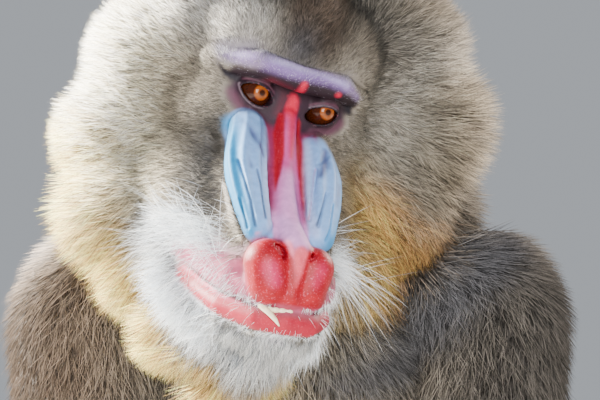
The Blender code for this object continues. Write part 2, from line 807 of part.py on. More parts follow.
def make_hand(side):
    """Hand laid flat, palm down, with four fingers and a thumb."""
    masses = chain([mirrored(side, point) for point in (WRIST, KNUCKLES)], [0.0215, 0.0190])
    palm = (KNUCKLES[0] + 0.004, KNUCKLES[1] + 0.032, 0.014)
    masses.append(ball(mirrored(side, palm), (0.033, 0.046, 0.018)))
    masses += digits(side, (KNUCKLES[0] + 0.002, KNUCKLES[1] - 0.004, 0.016), math.radians(-6),
                     math.radians(7), (0.052, 0.060, 0.058, 0.048), 0.0088, 0.0165)
    thumb = [(KNUCKLES[0] - 0.026, KNUCKLES[1] + 0.030, 0.012),
             (KNUCKLES[0] - 0.042, KNUCKLES[1] + 0.004, 0.008)]
    masses += chain([mirrored(side, point) for point in thumb], [0.0110, 0.0080])
    hand = fuse("hand_" + side, masses, 0.0022, HAND_TRIANGLES, smoothing=2)
    cut_flat(hand)
    return hand


def make_foot(side):
    """Foot flat on the ground, with four toes and the grasping big toe."""
    masses = chain([mirrored(side, point) for point in (HEEL, ANKLE)], [0.0240, 0.0250])
    masses += chain([mirrored(side, point) for point in
                     (HEEL, (0.184, -0.040, 0.022), BALL_OF_FOOT)], [0.0240, 0.0230, 0.0200])
    masses.append(ball(mirrored(side, (0.190, -0.075, 0.016)), (0.031, 0.050, 0.020)))
    masses += digits(side, (BALL_OF_FOOT[0] + 0.003, BALL_OF_FOOT[1] - 0.006, 0.014),
                     math.radians(8), math.radians(6), (0.048, 0.056, 0.054, 0.045),
                     0.0086, 0.0160)
    great_toe = [(0.166, -0.045, 0.014), (0.144, -0.082, 0.010)]
    masses += chain([mirrored(side, point) for point in great_toe], [0.0140, 0.0095])
    foot = fuse("foot_" + side, masses, 0.0022, HAND_TRIANGLES, smoothing=2)
    cut_flat(foot)
    return foot


# ------------------------------------------------------------------ locks of the long coat
def lock_girth(along):
    """Width of a lock along its length, 1 at its widest."""
    return math.sin(math.pi * (0.32 + 0.60 * along)) * (1.0 - 0.45 * along ** 4)


def lock(skin, root, normal, way, shape):
    """A flat tapered lock that lies along the skin and lifts off it towards the tip.

    The shape is its length, its width, the height of its tip over the skin and how stiff it
    is: 0 brings the tip down to the skin, 1 lets it run straight on.
    """
    length, width, height, stiffness = shape
    way = (way - normal * way.dot(normal)).normalized()
    ahead = root + way * length
    ground, end_normal, _, _ = skin.find_nearest(ahead)
    if end_normal.dot(normal) < MOST_TURN:
        end_normal = normal
        ground = ahead - normal * height
    tip = ground.lerp(ahead, stiffness) + end_normal * height
    start = root - normal * LOCK_SUNK - way * LOCK_SUNK
    middle = root + way * length * 0.5 + normal * height * 0.8
    mesh = bmesh.new()
    bmesh.ops.create_cone(mesh, cap_ends=True, segments=4, radius1=1.0, radius2=0.5, depth=1.0)
    for share in LOCK_CUTS:
        geometry = mesh.verts[:] + mesh.edges[:] + mesh.faces[:]
        bmesh.ops.bisect_plane(mesh, geom=geometry, plane_co=(0, 0, share - 0.5),
                               plane_no=(0, 0, 1))
    for vert in mesh.verts:
        along = vert.co.z + 0.5
        heading = (middle - start).lerp(tip - middle, along).normalized()
        side = heading.cross(normal.lerp(end_normal, along)).normalized()
        up = side.cross(heading)
        around = Vector((vert.co.x, vert.co.y)).normalized() * lock_girth(along) * width / 2
        spine = start.lerp(middle, along).lerp(middle.lerp(tip, along), along)
        vert.co = spine + side * around.x + up * around.y * LOCK_FLATNESS
    bmesh.ops.triangulate(mesh, faces=mesh.faces)
    bmesh.ops.recalc_face_normals(mesh, faces=mesh.faces)
    return mesh


def grow(part, parts, tiers, draw):
    """Fuse tiers of locks into a part, then cut it clear of the others.

    Each tier is its locks' shape and their roots, and each root an inner point, the way out
    from it to the skin and the way the hair lies.
    """
    own = surface(part)
    skin = surface_of_all(parts)
    locks = []
    for (length, width, height, stiffness), roots in tiers:
        for inner, out, way in roots:
            spot, normal, _, _ = own.ray_cast(inner, out.normalized())
            if spot is None:
                continue
            turn = Matrix.Rotation(draw.uniform(-0.16, 0.16), 3, normal)
            scale = draw.uniform(0.88, 1.12)
            varied = (length * scale, width * draw.uniform(0.92, 1.08), height * scale, stiffness)
            mesh = lock(skin, spot, normal, turn @ way, varied)
            locks.append(add_object("lock", mesh, TOOLS))
    combine(part, locks, "UNION")
    for other in parts:
        if other != part:
            keep_clear(part, other, LOCK_GAP)


def in_head(*vectors):
    """Directions of the head's frame turned into the world."""
    turn = HEAD.to_3x3()
    return [turn @ Vector(vector) for vector in vectors]


def ruff_roots(side, spread, ahead, count):
    """One tier of roots round a cheek, from the temple to below the jaw.

    The tier's arc lies spread out from the face's edge; ahead turns the way to the skin from
    sideways, 0, to straight forward, 1.
    """
    sign = SIDES[side]
    roots = []
    for index in range(count):
        angle = math.radians(90 - 180 * (index + 0.5) / count)
        across, up = math.cos(angle), math.sin(angle)
        inner = HEAD @ Vector((sign * (0.060 + spread * RUFF_FLARE[side] * across), 0.060,
                               -0.040 + (0.058 + 0.7 * spread) * up))
        aside = 1.0 - ahead
        roots.append((inner, *in_head((sign * across * aside, 0.15 * aside - ahead, up * aside),
                                      (sign * across, 0.25, up - 0.20))))
    return roots


def beard_roots(count, back):
    """One tier of roots under the jaw, from one side over the chin to the other."""
    roots = []
    for index in range(count):
        across = (index / (count - 1) - 0.5) * 2
        inner = HEAD @ Vector((0.024 * across, -0.072 + back + 0.016 * abs(across), -0.142))
        roots.append((inner, *in_head((0.75 * across, -0.70 + 12 * back, -0.35),
                                      (0.30 * across, 0.16, -1.0))))
    return roots


def crest_roots():
    """The crown's roots, in rows from the brow to the nape."""
    roots = []
    for start, count in ((0.022, 2), (0.052, 3), (0.086, 3)):
        for index in range(count):
            across = (index / (count - 1) - 0.5) * 2
            inner = HEAD @ Vector((0.014 * across, start, 0.040))
            roots.append((inner, *in_head((0.50 * across, 0.0, 1.0), (0.16 * across, 1.0, 0.2))))
    return roots


def nape_roots():
    """The roots of the mane that falls over the back of the neck and the shoulders."""
    top = HEAD @ Vector((0, 0.100, -0.010))
    base = Vector((0.0, 0.035, 0.505))
    roots = []
    for share, count in ((0.20, 3), (0.55, 4), (0.92, 5)):
        for index in range(count):
            angle = math.radians(-66 + 132 * index / (count - 1))
            out = Vector((math.sin(angle), math.cos(angle), 0.35))
            way = Vector((0.25 * math.sin(angle), 0.40 * math.cos(angle), -1.0))
            roots.append((top.lerp(base, share), out, way))
    return roots


def back_roots():
    """The roots of the cape over the upper back."""
    roots = []
    for height, count in ((0.452, 4), (0.385, 4)):
        for index in range(count):
            angle = math.radians(-54 + 108 * index / (count - 1))
            out = Vector((math.sin(angle), math.cos(angle), 0.20))
            roots.append((Vector((0, 0.070, height)), out, Vector((0.1 * math.sin(angle), 0, -1.0))))
    return roots


def breast_roots():
    """The roots of the hair that hangs from the breast."""
    return [(Vector((0.024 * across, 0.0, height)), Vector((0.50 * across, -1.0, 0.0)),
             Vector((0.10 * across, 0.0, -1.0)))
            for height, across in ((0.450, -1.0), (0.450, 1.0), (0.425, 0.0), (0.400, -1.6),
                                   (0.400, 1.6))]


def arm_roots(side):
    """Roots down the outer and hinder side of an upper arm."""
    sign = SIDES[side]
    down = (Vector(mirrored(side, ELBOW)) - Vector(mirrored(side, SHOULDER))).normalized()
    return [(Vector(mirrored(side, between(SHOULDER, ELBOW, share))),
             Vector((sign * across, back, 0.1)), down)
            for share, across, back in ((0.15, 1.0, -0.20), (0.15, 0.5, 1.0), (0.50, 1.0, -0.45),
                                        (0.50, 1.0, 0.45), (0.50, 0.1, 1.0))]


def grow_coat(parts):
    """The long coat: locks on each part that carries them, the ruffs first."""
    draw = random.Random(LOCK_SEED)
    named = {part.name: part for part in parts}
    for side in SIDES:
        grow(named["ruff_" + side], parts,
             [(RUFF_FRONT_LOCK, ruff_roots(side, 0.006, 1.0, 6)),
              (RUFF_FRONT_LOCK, ruff_roots(side, 0.026, 0.8, 7)),
              (RUFF_RIM_LOCK, ruff_roots(side, 0.044, 0.1, 7))], draw)
    grow(named["jaw"], parts, [(BEARD_LOCK, beard_roots(5, 0.0) + beard_roots(4, 0.034))], draw)
    grow(named["head"], parts, [(CREST_LOCK, crest_roots())], draw)
    grow(named["neck"], parts, [(NAPE_LOCK, nape_roots())], draw)
    grow(named["chest"], parts, [(CAPE_LOCK, back_roots()), (BREAST_LOCK, breast_roots())], draw)
    for side in SIDES:
        grow(named["upper_arm_" + side], parts, [(ARM_LOCK, arm_roots(side))], draw)


# ------------------------------------------------------------------ finish
def material(name, colour, roughness):
    """A Principled material."""
    result = bpy.data.materials.new(name)
    result.use_nodes = True
    shader = result.node_tree.nodes["Principled BSDF"]
    shader.inputs["Base Color"].default_value = (*colour, 1.0)
    shader.inputs["Roughness"].default_value = roughness
    shader.inputs["Metallic"].default_value = 0.0
    result.diffuse_color = (*colour, 1.0)
    return result


def finish_of(name):
    """Colour and roughness of a part, by its name."""
    finishes = [("eye", IRIS, 0.08), ("tooth", IVORY, 0.30), ("teeth", IVORY, 0.30),
                ("head", RED, 0.55), ("jaw", CREAM, 0.80), ("ear", SKIN_PINK, 0.60),
                ("ruff", GOLD, 0.90), ("hand", SKIN_DARK, 0.60), ("foot", SKIN_DARK, 0.60),
                ("neck", DARK_OLIVE, 0.90), ("chest", OLIVE, 0.90), ("belly", CREAM, 0.90),
                ("pelvis", SKIN_PINK, 0.75), ("tail", OLIVE, 0.90)]
    for start, colour, roughness in finishes:
        if name.startswith(start):
            return colour, roughness
    return OLIVE, 0.90


def dress(parts):
    """Give every part its own material and smooth shading."""
    for part in parts:
        colour, roughness = finish_of(part.name)
        part.data.materials.clear()
        part.data.materials.append(material(part.name + "_finish", colour, roughness))
        part.data.shade_smooth()


def centre(parts):
    """Move the whole so that its box stands centred on the Z axis, on z = 0."""
    boxes = [bounds(part) for part in parts]
    low = Vector(min(box[0][i] for box in boxes) for i in range(3))
    high = Vector(max(box[1][i] for box in boxes) for i in range(3))
    shift = Vector((-(low.x + high.x) / 2, -(low.y + high.y) / 2, -low.z))
    for part in parts:
        part.data.transform(Matrix.Translation(shift))


def main():
    for leftover in list(bpy.data.objects):
        bpy.data.objects.remove(leftover, do_unlink=True)
    bpy.context.scene.collection.children.link(PART)
    bpy.context.scene.collection.children.link(TOOLS)
    parts = [make_eye(side) for side in SIDES]
    parts += make_head_parts() + make_teeth()
    parts += [make_ear(side) for side in SIDES]
    parts += make_trunk() + [make_tail()]
    parts += [maker(side) for maker in (make_foot, make_hand) for side in SIDES]
    for maker in (make_leg, make_arm):
        for side in SIDES:
            parts += maker(side)
    part_from_neighbours(parts)
    grow_coat(parts)
    centre(parts)
    dress(parts)
    bpy.context.view_layer.update()


main()
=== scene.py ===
"""Skin, coat, eyes, teeth and nails of a life-size sitting mandrill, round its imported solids.

Metres, +Z up, the face towards -Y, the animal's left at +X.  Sizes of the head are given in
the head's own frame: its origin lies midway between the eyeballs, -Y points out of the face
and +Z to the crown.
"""

import logging
import math
from dataclasses import dataclass, field
from enum import Enum

import bmesh
import bpy
import numpy as np
from mathutils import Matrix, Vector


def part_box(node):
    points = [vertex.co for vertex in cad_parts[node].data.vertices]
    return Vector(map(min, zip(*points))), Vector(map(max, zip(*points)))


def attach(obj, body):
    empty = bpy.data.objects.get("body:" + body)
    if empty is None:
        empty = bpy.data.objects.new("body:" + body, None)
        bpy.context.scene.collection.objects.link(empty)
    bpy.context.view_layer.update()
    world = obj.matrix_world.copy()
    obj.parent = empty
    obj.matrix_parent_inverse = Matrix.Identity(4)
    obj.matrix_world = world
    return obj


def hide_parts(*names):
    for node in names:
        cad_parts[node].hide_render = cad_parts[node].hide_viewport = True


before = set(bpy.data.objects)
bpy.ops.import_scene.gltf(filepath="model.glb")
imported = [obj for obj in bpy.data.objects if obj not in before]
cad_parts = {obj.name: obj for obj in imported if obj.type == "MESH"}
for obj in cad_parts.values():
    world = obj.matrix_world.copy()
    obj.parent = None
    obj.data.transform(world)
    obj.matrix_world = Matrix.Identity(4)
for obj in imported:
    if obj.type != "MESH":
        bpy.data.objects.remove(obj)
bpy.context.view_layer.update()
UP = Vector((0, 0, 1))
LOG = logging.getLogger("mandrill")

Point = tuple[float, float, float]
Colour = tuple[float, float, float]
Array = np.ndarray
Thing = bpy.types.Object
Draw = np.random.Generator

MM = 0.001
SKIN_GROUND = 0.0002
HAIR_GROUND = 0.0005


class Side(Enum):
    """The two sides of the animal, as the sign of X."""

    LEFT = 1.0
    RIGHT = -1.0

    def of(self, point: Point) -> Point:
        """A point given for the left side, moved to this one."""
        return (point[0] * self.value, point[1], point[2])

    def row(self, points: list[Point]) -> list[Point]:
        """A row of points given for the left side, moved to this one."""
        return [self.of(point) for point in points]

    @property
    def word(self) -> str:
        """The side's name in a node's name."""
        return self.name.lower()


class Space(Enum):
    """The frame that a place is given in."""

    HEAD = "head"
    BODY = "body"


def paint(red: int, green: int, blue: int) -> Colour:
    """A screen colour of 0 to 255 as linear light."""
    shares = (value / 255 for value in (red, green, blue))
    return tuple(share / 12.92 if share <= 0.04045 else ((share + 0.055) / 1.055) ** 2.4
                 for share in shares)


# ------------------------------------------------------------------ place of the head
@dataclass
class Place:
    """Where the body and the head stand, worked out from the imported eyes.

    Attributes:
        eye_level: height of the head's origin before the whole is centred.
        eye_forward: its place along Y.
        yaw, pitch, roll: the head's turn about Z, X and Y.
        twist: how much less the front of the muzzle leans than the eyes.
    """

    eye_level: float = 0.600
    eye_forward: float = -0.155
    yaw: float = math.radians(20)
    pitch: float = math.radians(8)
    roll: float = math.radians(19)
    twist: float = math.radians(7)
    twist_start: float = -0.020
    twist_reach: float = 0.070
    twist_height: float = -0.075
    eye: Point = (0.0225, 0.0015, -0.0015)
    cornea_rise: float = 0.0008

    def __post_init__(self) -> None:
        """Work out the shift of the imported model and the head's matrix."""
        turn = (Matrix.Rotation(self.roll, 4, "Y") @ Matrix.Rotation(self.pitch, 4, "X")
                @ Matrix.Rotation(self.yaw, 4, "Z"))
        bare = Matrix.Translation((0.0, self.eye_forward, self.eye_level)) @ turn
        boxes = [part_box("eye_" + side.word) for side in Side]
        middle = sum((low + high for low, high in boxes), Vector()) / 4
        expected = bare @ Vector((0.0, self.eye[1] - self.cornea_rise / 2, self.eye[2]))
        shift = middle - expected
        self.body = Matrix.Translation((shift.x, shift.y, 0.0))
        self.head = self.body @ bare

    def matrix(self, space: Space) -> Matrix:
        """The matrix of a frame."""
        return self.head if space is Space.HEAD else self.body

    def into_head(self, points: Array) -> Array:
        """World points in the head's frame."""
        return moved(points, self.head.inverted())

    def turned(self, points: Array, amount: float) -> Array:
        """Points of the head's frame with the front of the muzzle turned.

        Args:
            points: an N by 3 array in the head's frame.
            amount: the full turn at the front of the muzzle, in radians.

        Returns:
            The turned points.
        """
        share = np.clip((self.twist_start - points[:, 1]) / self.twist_reach, 0.0, 1.0)
        angle = -amount * share * share * (3 - 2 * share)
        height = points[:, 2] - self.twist_height
        cosine, sine = np.cos(angle), np.sin(angle)
        return np.stack([points[:, 0] * cosine + height * sine, points[:, 1],
                         height * cosine - points[:, 0] * sine + self.twist_height], axis=1)

    def twisted(self, points: Array) -> Array:
        """World points after the muzzle's turn."""
        return moved(self.turned(self.into_head(points), self.twist), self.head)

    def untwisted(self, points: Array) -> Array:
        """World points in the head's frame, with the muzzle's turn taken out."""
        return self.turned(self.into_head(points), -self.twist)


def moved(points: Array, matrix: Matrix) -> Array:
    """An N by 3 array of points moved by a matrix."""
    table = np.array(matrix)
    return points @ table[:3, :3].T + table[:3, 3]


def unit(vectors: Array) -> Array:
    """An N by 3 array of vectors, each brought to length 1."""
    return vectors / np.maximum(np.linalg.norm(vectors, axis=1, keepdims=True), 1e-12)


def smooth_step(values: Array) -> Array:
    """Values from 0 to 1 eased at both ends."""
    held = np.clip(values, 0.0, 1.0)
    return held * held * (3 - 2 * held)


def rounded(points: tuple[Point, ...], radii: tuple[float, ...],
            steps: int = 4) -> tuple[tuple[Point, ...], tuple[float, ...]]:
    """A row of points and radii with more points between them and rounder corners.

    Args:
        points: the points.
        radii: a radius at each point.
        steps: how many pieces each stretch is parted in.

    Returns:
        The new points and radii.
    """
    table = np.column_stack([np.array(points, float), np.array(radii, float)])
    padded = np.vstack([2 * table[0] - table[1], table, 2 * table[-1] - table[-2]])
    rows = []
    for index in range(len(table) - 1):
        a, b, c, d = padded[index:index + 4]
        for step in range(steps):
            share = step / steps
            rows.append(b + 0.5 * share * (c - a + share * (2 * a - 5 * b + 4 * c - d
                                                           + share * (3 * b - a - 3 * c + d))))
    rows.append(table[-1])
    return tuple(tuple(map(float, row[:3])) for row in rows), tuple(float(row[3]) for row in rows)


PLACE = Place()


# ------------------------------------------------------------------ meshes
def coordinates(target: Thing, kind: str = "co") -> Array:
    """The places of an object's vertices, or their normals, as an N by 3 array."""
    table = np.empty(len(target.data.vertices) * 3, np.float32)
    target.data.vertices.foreach_get(kind, table)
    return table.reshape(-1, 3).astype(float)


def set_coordinates(target: Thing, points: Array) -> None:
    """Move an object's vertices to these places."""
    target.data.vertices.foreach_set("co", points.astype(np.float32).ravel())
    target.data.update()


def add_object(name: str, mesh: bmesh.types.BMesh) -> Thing:
    """A bmesh made into a mesh object of the scene."""
    data = bpy.data.meshes.new(name)
    mesh.to_mesh(data)
    mesh.free()
    result = bpy.data.objects.new(name, data)
    bpy.context.scene.collection.objects.link(result)
    return result


def drop(target: Thing) -> None:
    """Remove an object and its mesh."""
    data = target.data
    bpy.data.objects.remove(target)
    bpy.data.meshes.remove(data)


def apply_modifiers(target: Thing) -> None:
    """Replace an object's mesh by what its modifiers make of it."""
    graph = bpy.context.evaluated_depsgraph_get()
    data = bpy.data.meshes.new_from_object(target.evaluated_get(graph))
    before = target.data
    target.modifiers.clear()
    target.data = data
    data.name = target.name
    bpy.data.meshes.remove(before)


def remesh(target: Thing, voxel: float, smoothing: int) -> None:
    """Melt a mesh into one closed skin.

    Args:
        target: the object.
        voxel: the size of the mesh's squares.
        smoothing: how many rounds of smoothing follow.
    """
    melt = target.modifiers.new("melt", "REMESH")
    melt.mode = "VOXEL"
    melt.voxel_size = voxel
    smooth = target.modifiers.new("smooth", "SMOOTH")
    smooth.iterations = smoothing
    apply_modifiers(target)


def thin_out(target: Thing, triangles: int, group: str = "",
             inside: bool = False) -> None:
    """Bring a mesh down to about this many triangles.

    Args:
        target: the object.
        triangles: how many triangles are left.
        group: a vertex group that parts the mesh, if any.
        inside: whether only the group is thinned out, and not only what lies outside it.
    """
    corners = sum(len(face.vertices) - 2 for face in target.data.polygons)
    decimate = target.modifiers.new("decimate", "DECIMATE")
    decimate.ratio = min(1.0, triangles / corners)
    if group:
        decimate.vertex_group = group
        decimate.invert_vertex_group = not inside
        decimate.vertex_group_factor = 1.0
    apply_modifiers(target)


def weld(target: Thing, distance: float = 0.00006) -> None:
    """Weld points that all but touch, so that no sliver keeps a mesh from being closed."""
    mesh = bmesh.new()
    mesh.from_mesh(target.data)
    bmesh.ops.remove_doubles(mesh, verts=mesh.verts, dist=distance)
    bmesh.ops.dissolve_degenerate(mesh, edges=mesh.edges, dist=distance / 4)
    bmesh.ops.triangulate(mesh, faces=mesh.faces)
    mesh.to_mesh(target.data)
    mesh.free()


def is_closed(target: Thing) -> bool:
    """Whether every edge of a mesh has exactly two faces."""
    mesh = bmesh.new()
    mesh.from_mesh(target.data)
    closed = all(edge.is_manifold for edge in mesh.edges)
    mesh.free()
    return closed


def combine(target: Thing, tools: list[Thing], operation: str) -> None:
    """One Boolean of the target with all the tools, which are then removed."""
    group = bpy.data.collections.new("operands")
    bpy.context.scene.collection.children.link(group)
    for tool in tools:
        for holder in list(tool.users_collection):
            holder.objects.unlink(tool)
        group.objects.link(tool)
    step = target.modifiers.new("combine", "BOOLEAN")
    step.operation = operation
    step.operand_type = "COLLECTION"
    step.collection = group
    step.solver = "MANIFOLD" if all(map(is_closed, [target, *tools])) else "EXACT"
    apply_modifiers(target)
    for tool in tools:
        drop(tool)
    bpy.data.collections.remove(group)


class Clay:
    """Overlapping masses in one frame, which melt into one closed skin."""

    def __init__(self, space: Space, fineness: int = 3) -> None:
        """Start with no masses.

        Args:
            space: the frame that the masses are placed in.
            fineness: how often their icospheres are subdivided.
        """
        self.frame = PLACE.matrix(space)
        self.fineness = fineness
        self.mesh = bmesh.new()

    def ball(self, centre: Point, radii: float | Point, tilt: float = 0.0) -> None:
        """Add an ellipsoid; tilt turns it about X."""
        sizes = radii if isinstance(radii, tuple) else (radii, radii, radii)
        place = (self.frame @ Matrix.Translation(centre) @ Matrix.Rotation(tilt, 4, "X")
                 @ Matrix.Diagonal((*sizes, 1.0)))
        bmesh.ops.create_icosphere(self.mesh, subdivisions=self.fineness, radius=1.0,
                                   matrix=place)

    def bar(self, start: Point, end: Point, radius: float, end_radius: float) -> None:
        """Add a tapered bar with round ends, the hull of two balls."""
        ends = bmesh.new()
        for point, size in ((start, radius), (end, end_radius)):
            bmesh.ops.create_icosphere(ends, subdivisions=self.fineness - 1, radius=size,
                                       matrix=Matrix.Translation(point))
        hull = bmesh.new()
        for vert in ends.verts:
            hull.verts.new(vert.co)
        ends.free()
        made = bmesh.ops.convex_hull(hull, input=hull.verts)
        spare = set(made["geom_interior"]) | set(made["geom_unused"])
        bmesh.ops.delete(hull, geom=[item for item in spare
                                     if isinstance(item, bmesh.types.BMVert)],
                         context="VERTS")
        hull.transform(self.frame)
        data = bpy.data.meshes.new("bar")
        hull.to_mesh(data)
        hull.free()
        self.mesh.from_mesh(data)
        bpy.data.meshes.remove(data)

    def chain(self, points: list[Point], radii: list[float]) -> None:
        """Add tapered bars along a row of points, one radius at each."""
        for start, end, radius, end_radius in zip(points, points[1:], radii, radii[1:]):
            self.bar(start, end, radius, end_radius)

    def add(self, other: Thing) -> None:
        """Add an object's mesh, which is then removed."""
        self.mesh.from_mesh(other.data)
        drop(other)

    def loose(self, name: str) -> Thing:
        """The masses as they are, for a cutter."""
        return add_object(name, self.mesh)

    def melt(self, name: str, voxel: float, smoothing: int) -> Thing:
        """Melt the masses into one closed skin.

        Args:
            name: the new object's name.
            voxel: the size of the mesh's squares.
            smoothing: how many rounds of smoothing follow.

        Returns:
            The object.
        """
        target = add_object(name, self.mesh)
        remesh(target, voxel, smoothing)
        return target


# ------------------------------------------------------------------ the head's forms
SWELLINGS = {
    Side.RIGHT: (((0.0235, -0.009, -0.0225), (0.0262, -0.037, -0.0405), (0.0240, -0.061, -0.0550),
                  (0.0205, -0.082, -0.0680)), (0.0110, 0.0128, 0.0110, 0.0090)),
    Side.LEFT: (((0.0225, -0.009, -0.0235), (0.0250, -0.037, -0.0410), (0.0235, -0.061, -0.0550),
                 (0.0200, -0.082, -0.0680)), (0.0100, 0.0118, 0.0108, 0.0090))}


@dataclass
class Head:
    """Skull, face, jaw and the flesh under the ruff."""

    ruff_flare: dict[Side, float] = field(
        default_factory=lambda: {Side.LEFT: 1.62, Side.RIGHT: 1.0})
    lid_radius: float = 0.0124
    eye_radius: float = 0.0105
    ribs: int = 4
    soft_voxel: float = 0.0032
    fine_voxel: float = 0.0011
    last_voxel: float = 0.0008
    face_triangles: int = 104000
    triangles: int = 22000
    mouth_corner: Point = (0.038, -0.037, -0.1085)
    lip_parting: float = 0.0013
    rib_lift: float = 0.93
    neck_plane: tuple[Point, Point] = ((0, 0.108, -0.020), (0, 0.85, -0.53))

    def skull(self, clay: Clay) -> None:
        """Brain case, eye surrounds, cheek bones and muzzle."""
        clay.ball((0, 0.062, 0.022), (0.056, 0.064, 0.050))
        clay.ball((0, 0.016, -0.014), (0.046, 0.026, 0.036))
        clay.ball((0, 0.040, -0.055), (0.050, 0.045, 0.045))
        clay.ball((0, 0.0, -0.005), (0.012, 0.0095, 0.012))
        clay.chain([(0, -0.002, -0.048), (0, -0.045, -0.076), (0, -0.084, -0.090)],
                   [0.034, 0.031, 0.025])
        for side in Side:
            clay.ball(side.of((0.038, 0.018, -0.006)), (0.020, 0.018, 0.018))
            clay.ball(side.of((0.027, 0.008, -0.021)), (0.020, 0.014, 0.012))
            clay.ball(side.of((0.044, 0.040, -0.020)), (0.022, 0.036, 0.036))
            clay.ball(side.of((0.034, 0.040, 0.026)), (0.028, 0.042, 0.034))
            clay.chain(side.row([(0.040, 0.030, -0.062), (0.031, -0.035, -0.092),
                                 (0.025, -0.082, -0.098)]),
                       [0.032, 0.019, 0.014])
        clay.chain([(0, 0.020, 0.050), (0, 0.054, 0.068), (0, 0.094, 0.062)],
                   [0.018, 0.022, 0.026])

    def jaw(self, clay: Clay) -> None:
        """Lower jaw with its chin and the flesh under the beard."""
        clay.ball((0, -0.084, -0.124), (0.025, 0.025, 0.015))
        clay.ball((0, -0.030, -0.122), (0.036, 0.055, 0.018))
        clay.chain([(0, -0.094, -0.128), (0, -0.080, -0.148), (0, -0.048, -0.174)],
                   [0.010, 0.012, 0.010])
        for side in Side:
            clay.chain(side.row([(0.020, -0.080, -0.125), (0.032, -0.036, -0.124),
                                 (0.042, 0.030, -0.094)]),
                       [0.013, 0.017, 0.024])
            clay.chain(side.row([(0.018, -0.060, -0.144), (0.030, -0.016, -0.154)]),
                       [0.012, 0.014])

    def cheeks(self, clay: Clay) -> None:
        """The flesh under the ruff, flared where a shoulder pushes it out."""
        for side, flare in self.ruff_flare.items():
            for centre, radii, flared in [
                    ((0.048, 0.062, 0.040), (0.036, 0.034, 0.034), 1.0),
                    ((0.064, 0.066, -0.004), (0.038, 0.034, 0.046), 1.0),
                    ((0.066, 0.060, -0.050), (0.038, 0.034, 0.044), 0.8),
                    ((0.056, 0.046, -0.092), (0.036, 0.034, 0.036), 0.5),
                    ((0.032, 0.026, -0.124), (0.034, 0.034, 0.026), 0.3)]:
                x, y, z = centre
                clay.ball(side.of((x * (1.0 + (flare - 1.0) * flared), y, z)), radii)
        clay.ball((0.066, 0.066, 0.052), (0.044, 0.038, 0.034))
        clay.ball((0.076, 0.054, 0.004), (0.036, 0.030, 0.056))
        clay.ball((-0.052, 0.066, 0.056), (0.034, 0.036, 0.026))
        clay.ball((-0.060, 0.052, 0.002), (0.028, 0.026, 0.052))

    def brow(self, clay: Clay) -> None:
        """The bar of bare skin over the eyes."""
        clay.chain([(-0.050, 0.012, 0.010), (-0.028, -0.009, 0.0170), (0, -0.011, 0.0155),
                    (0.026, -0.009, 0.0170), (0.046, 0.010, 0.011)],
                   [0.0070, 0.0086, 0.0084, 0.0084, 0.0066])

    def swellings(self, clay: Clay) -> None:
        """The swellings on both sides of the nose, each with its long ribs."""
        for side, (path, widths) in SWELLINGS.items():
            spine, girths = rounded(path, widths)
            clay.chain(side.row(spine), list(girths))
            heights = np.interp(np.linspace(0, 3, len(spine)), range(4),
                                [0.0016, 0.0028, 0.0027, 0.0016])
            for rib in range(self.ribs):
                across = math.radians(-62 + 124 * rib / (self.ribs - 1))
                row = []
                for (x, y, z), girth in zip(spine, girths):
                    lift = girth * self.rib_lift
                    row.append(side.of((x + lift * math.sin(across),
                                        y - 0.50 * lift * math.cos(across),
                                        z + 0.86 * lift * math.cos(across))))
                clay.chain(row, list(map(float, heights)))

    def nose(self, clay: Clay) -> None:
        """Bridge, the two round nose lobes and the wall between the nostrils."""
        clay.chain([(0, -0.007, -0.011), (0, -0.033, -0.037), (0, -0.078, -0.065),
                    (0, -0.100, -0.076)],
                   [0.0070, 0.0064, 0.0080, 0.0112])
        clay.chain([(0, -0.104, -0.080), (0, -0.110, -0.093), (0, -0.112, -0.100)],
                   [0.0085, 0.0060, 0.0055])
        for side, out, girth in ((Side.RIGHT, 0.0158, 0.0146), (Side.LEFT, 0.0132, 0.0134)):
            clay.chain(side.row([(out, -0.100, -0.0835), (out - 0.0018, -0.1055, -0.0960)]),
                       [girth, girth - 0.0020])

    def lips(self, clay: Clay) -> None:
        """Upper and lower lip, thick along the line of the mouth."""
        for side in Side:
            for height, girths in ((-0.1012, [0.0068, 0.0080, 0.0085, 0.0085]),
                                   (-0.1180, [0.0070, 0.0080, 0.0085, 0.0085])):
                path = [(0.037, -0.037, height - 0.0015), (0.030, -0.080, height),
                        (0.015, -0.104, height + 0.0010), (0.0, -0.108, height + 0.0015)]
                clay.chain(side.row(path), girths)

    def lip_line(self, x: Array, y: Array) -> Array:
        """Height of the line between the lips, across and along the head."""
        back = np.maximum(0.0, y - self.mouth_corner[1])
        bow = 0.0012 * np.cos(x / 0.008) * np.maximum(0.0, 1 - np.abs(x) / 0.030)
        return -0.1086 - 0.0014 * np.exp(-((y + 0.055) / 0.03) ** 2) + bow + 0.34 * back

    def mouth_cutter(self) -> Thing:
        """A thin curved slab that parts the lips as far as the corners of the mouth."""
        mesh = bmesh.new()
        bmesh.ops.create_grid(mesh, x_segments=60, y_segments=60, size=0.06)
        bmesh.ops.translate(mesh, vec=(0, self.mouth_corner[1] - 0.0605, 0), verts=mesh.verts)
        bmesh.ops.solidify(mesh, geom=mesh.faces, thickness=self.lip_parting)
        bmesh.ops.triangulate(mesh, faces=mesh.faces)
        bmesh.ops.recalc_face_normals(mesh, faces=mesh.faces)
        for vert in mesh.verts:
            thin = 0.45 + 0.55 * min(1.0, max(0.0, -vert.co.y - 0.038) / 0.02)
            vert.co.z = float(self.lip_line(vert.co.x, vert.co.y)) + vert.co.z * thin
        mesh.transform(PLACE.head)
        return add_object("mouth", mesh)

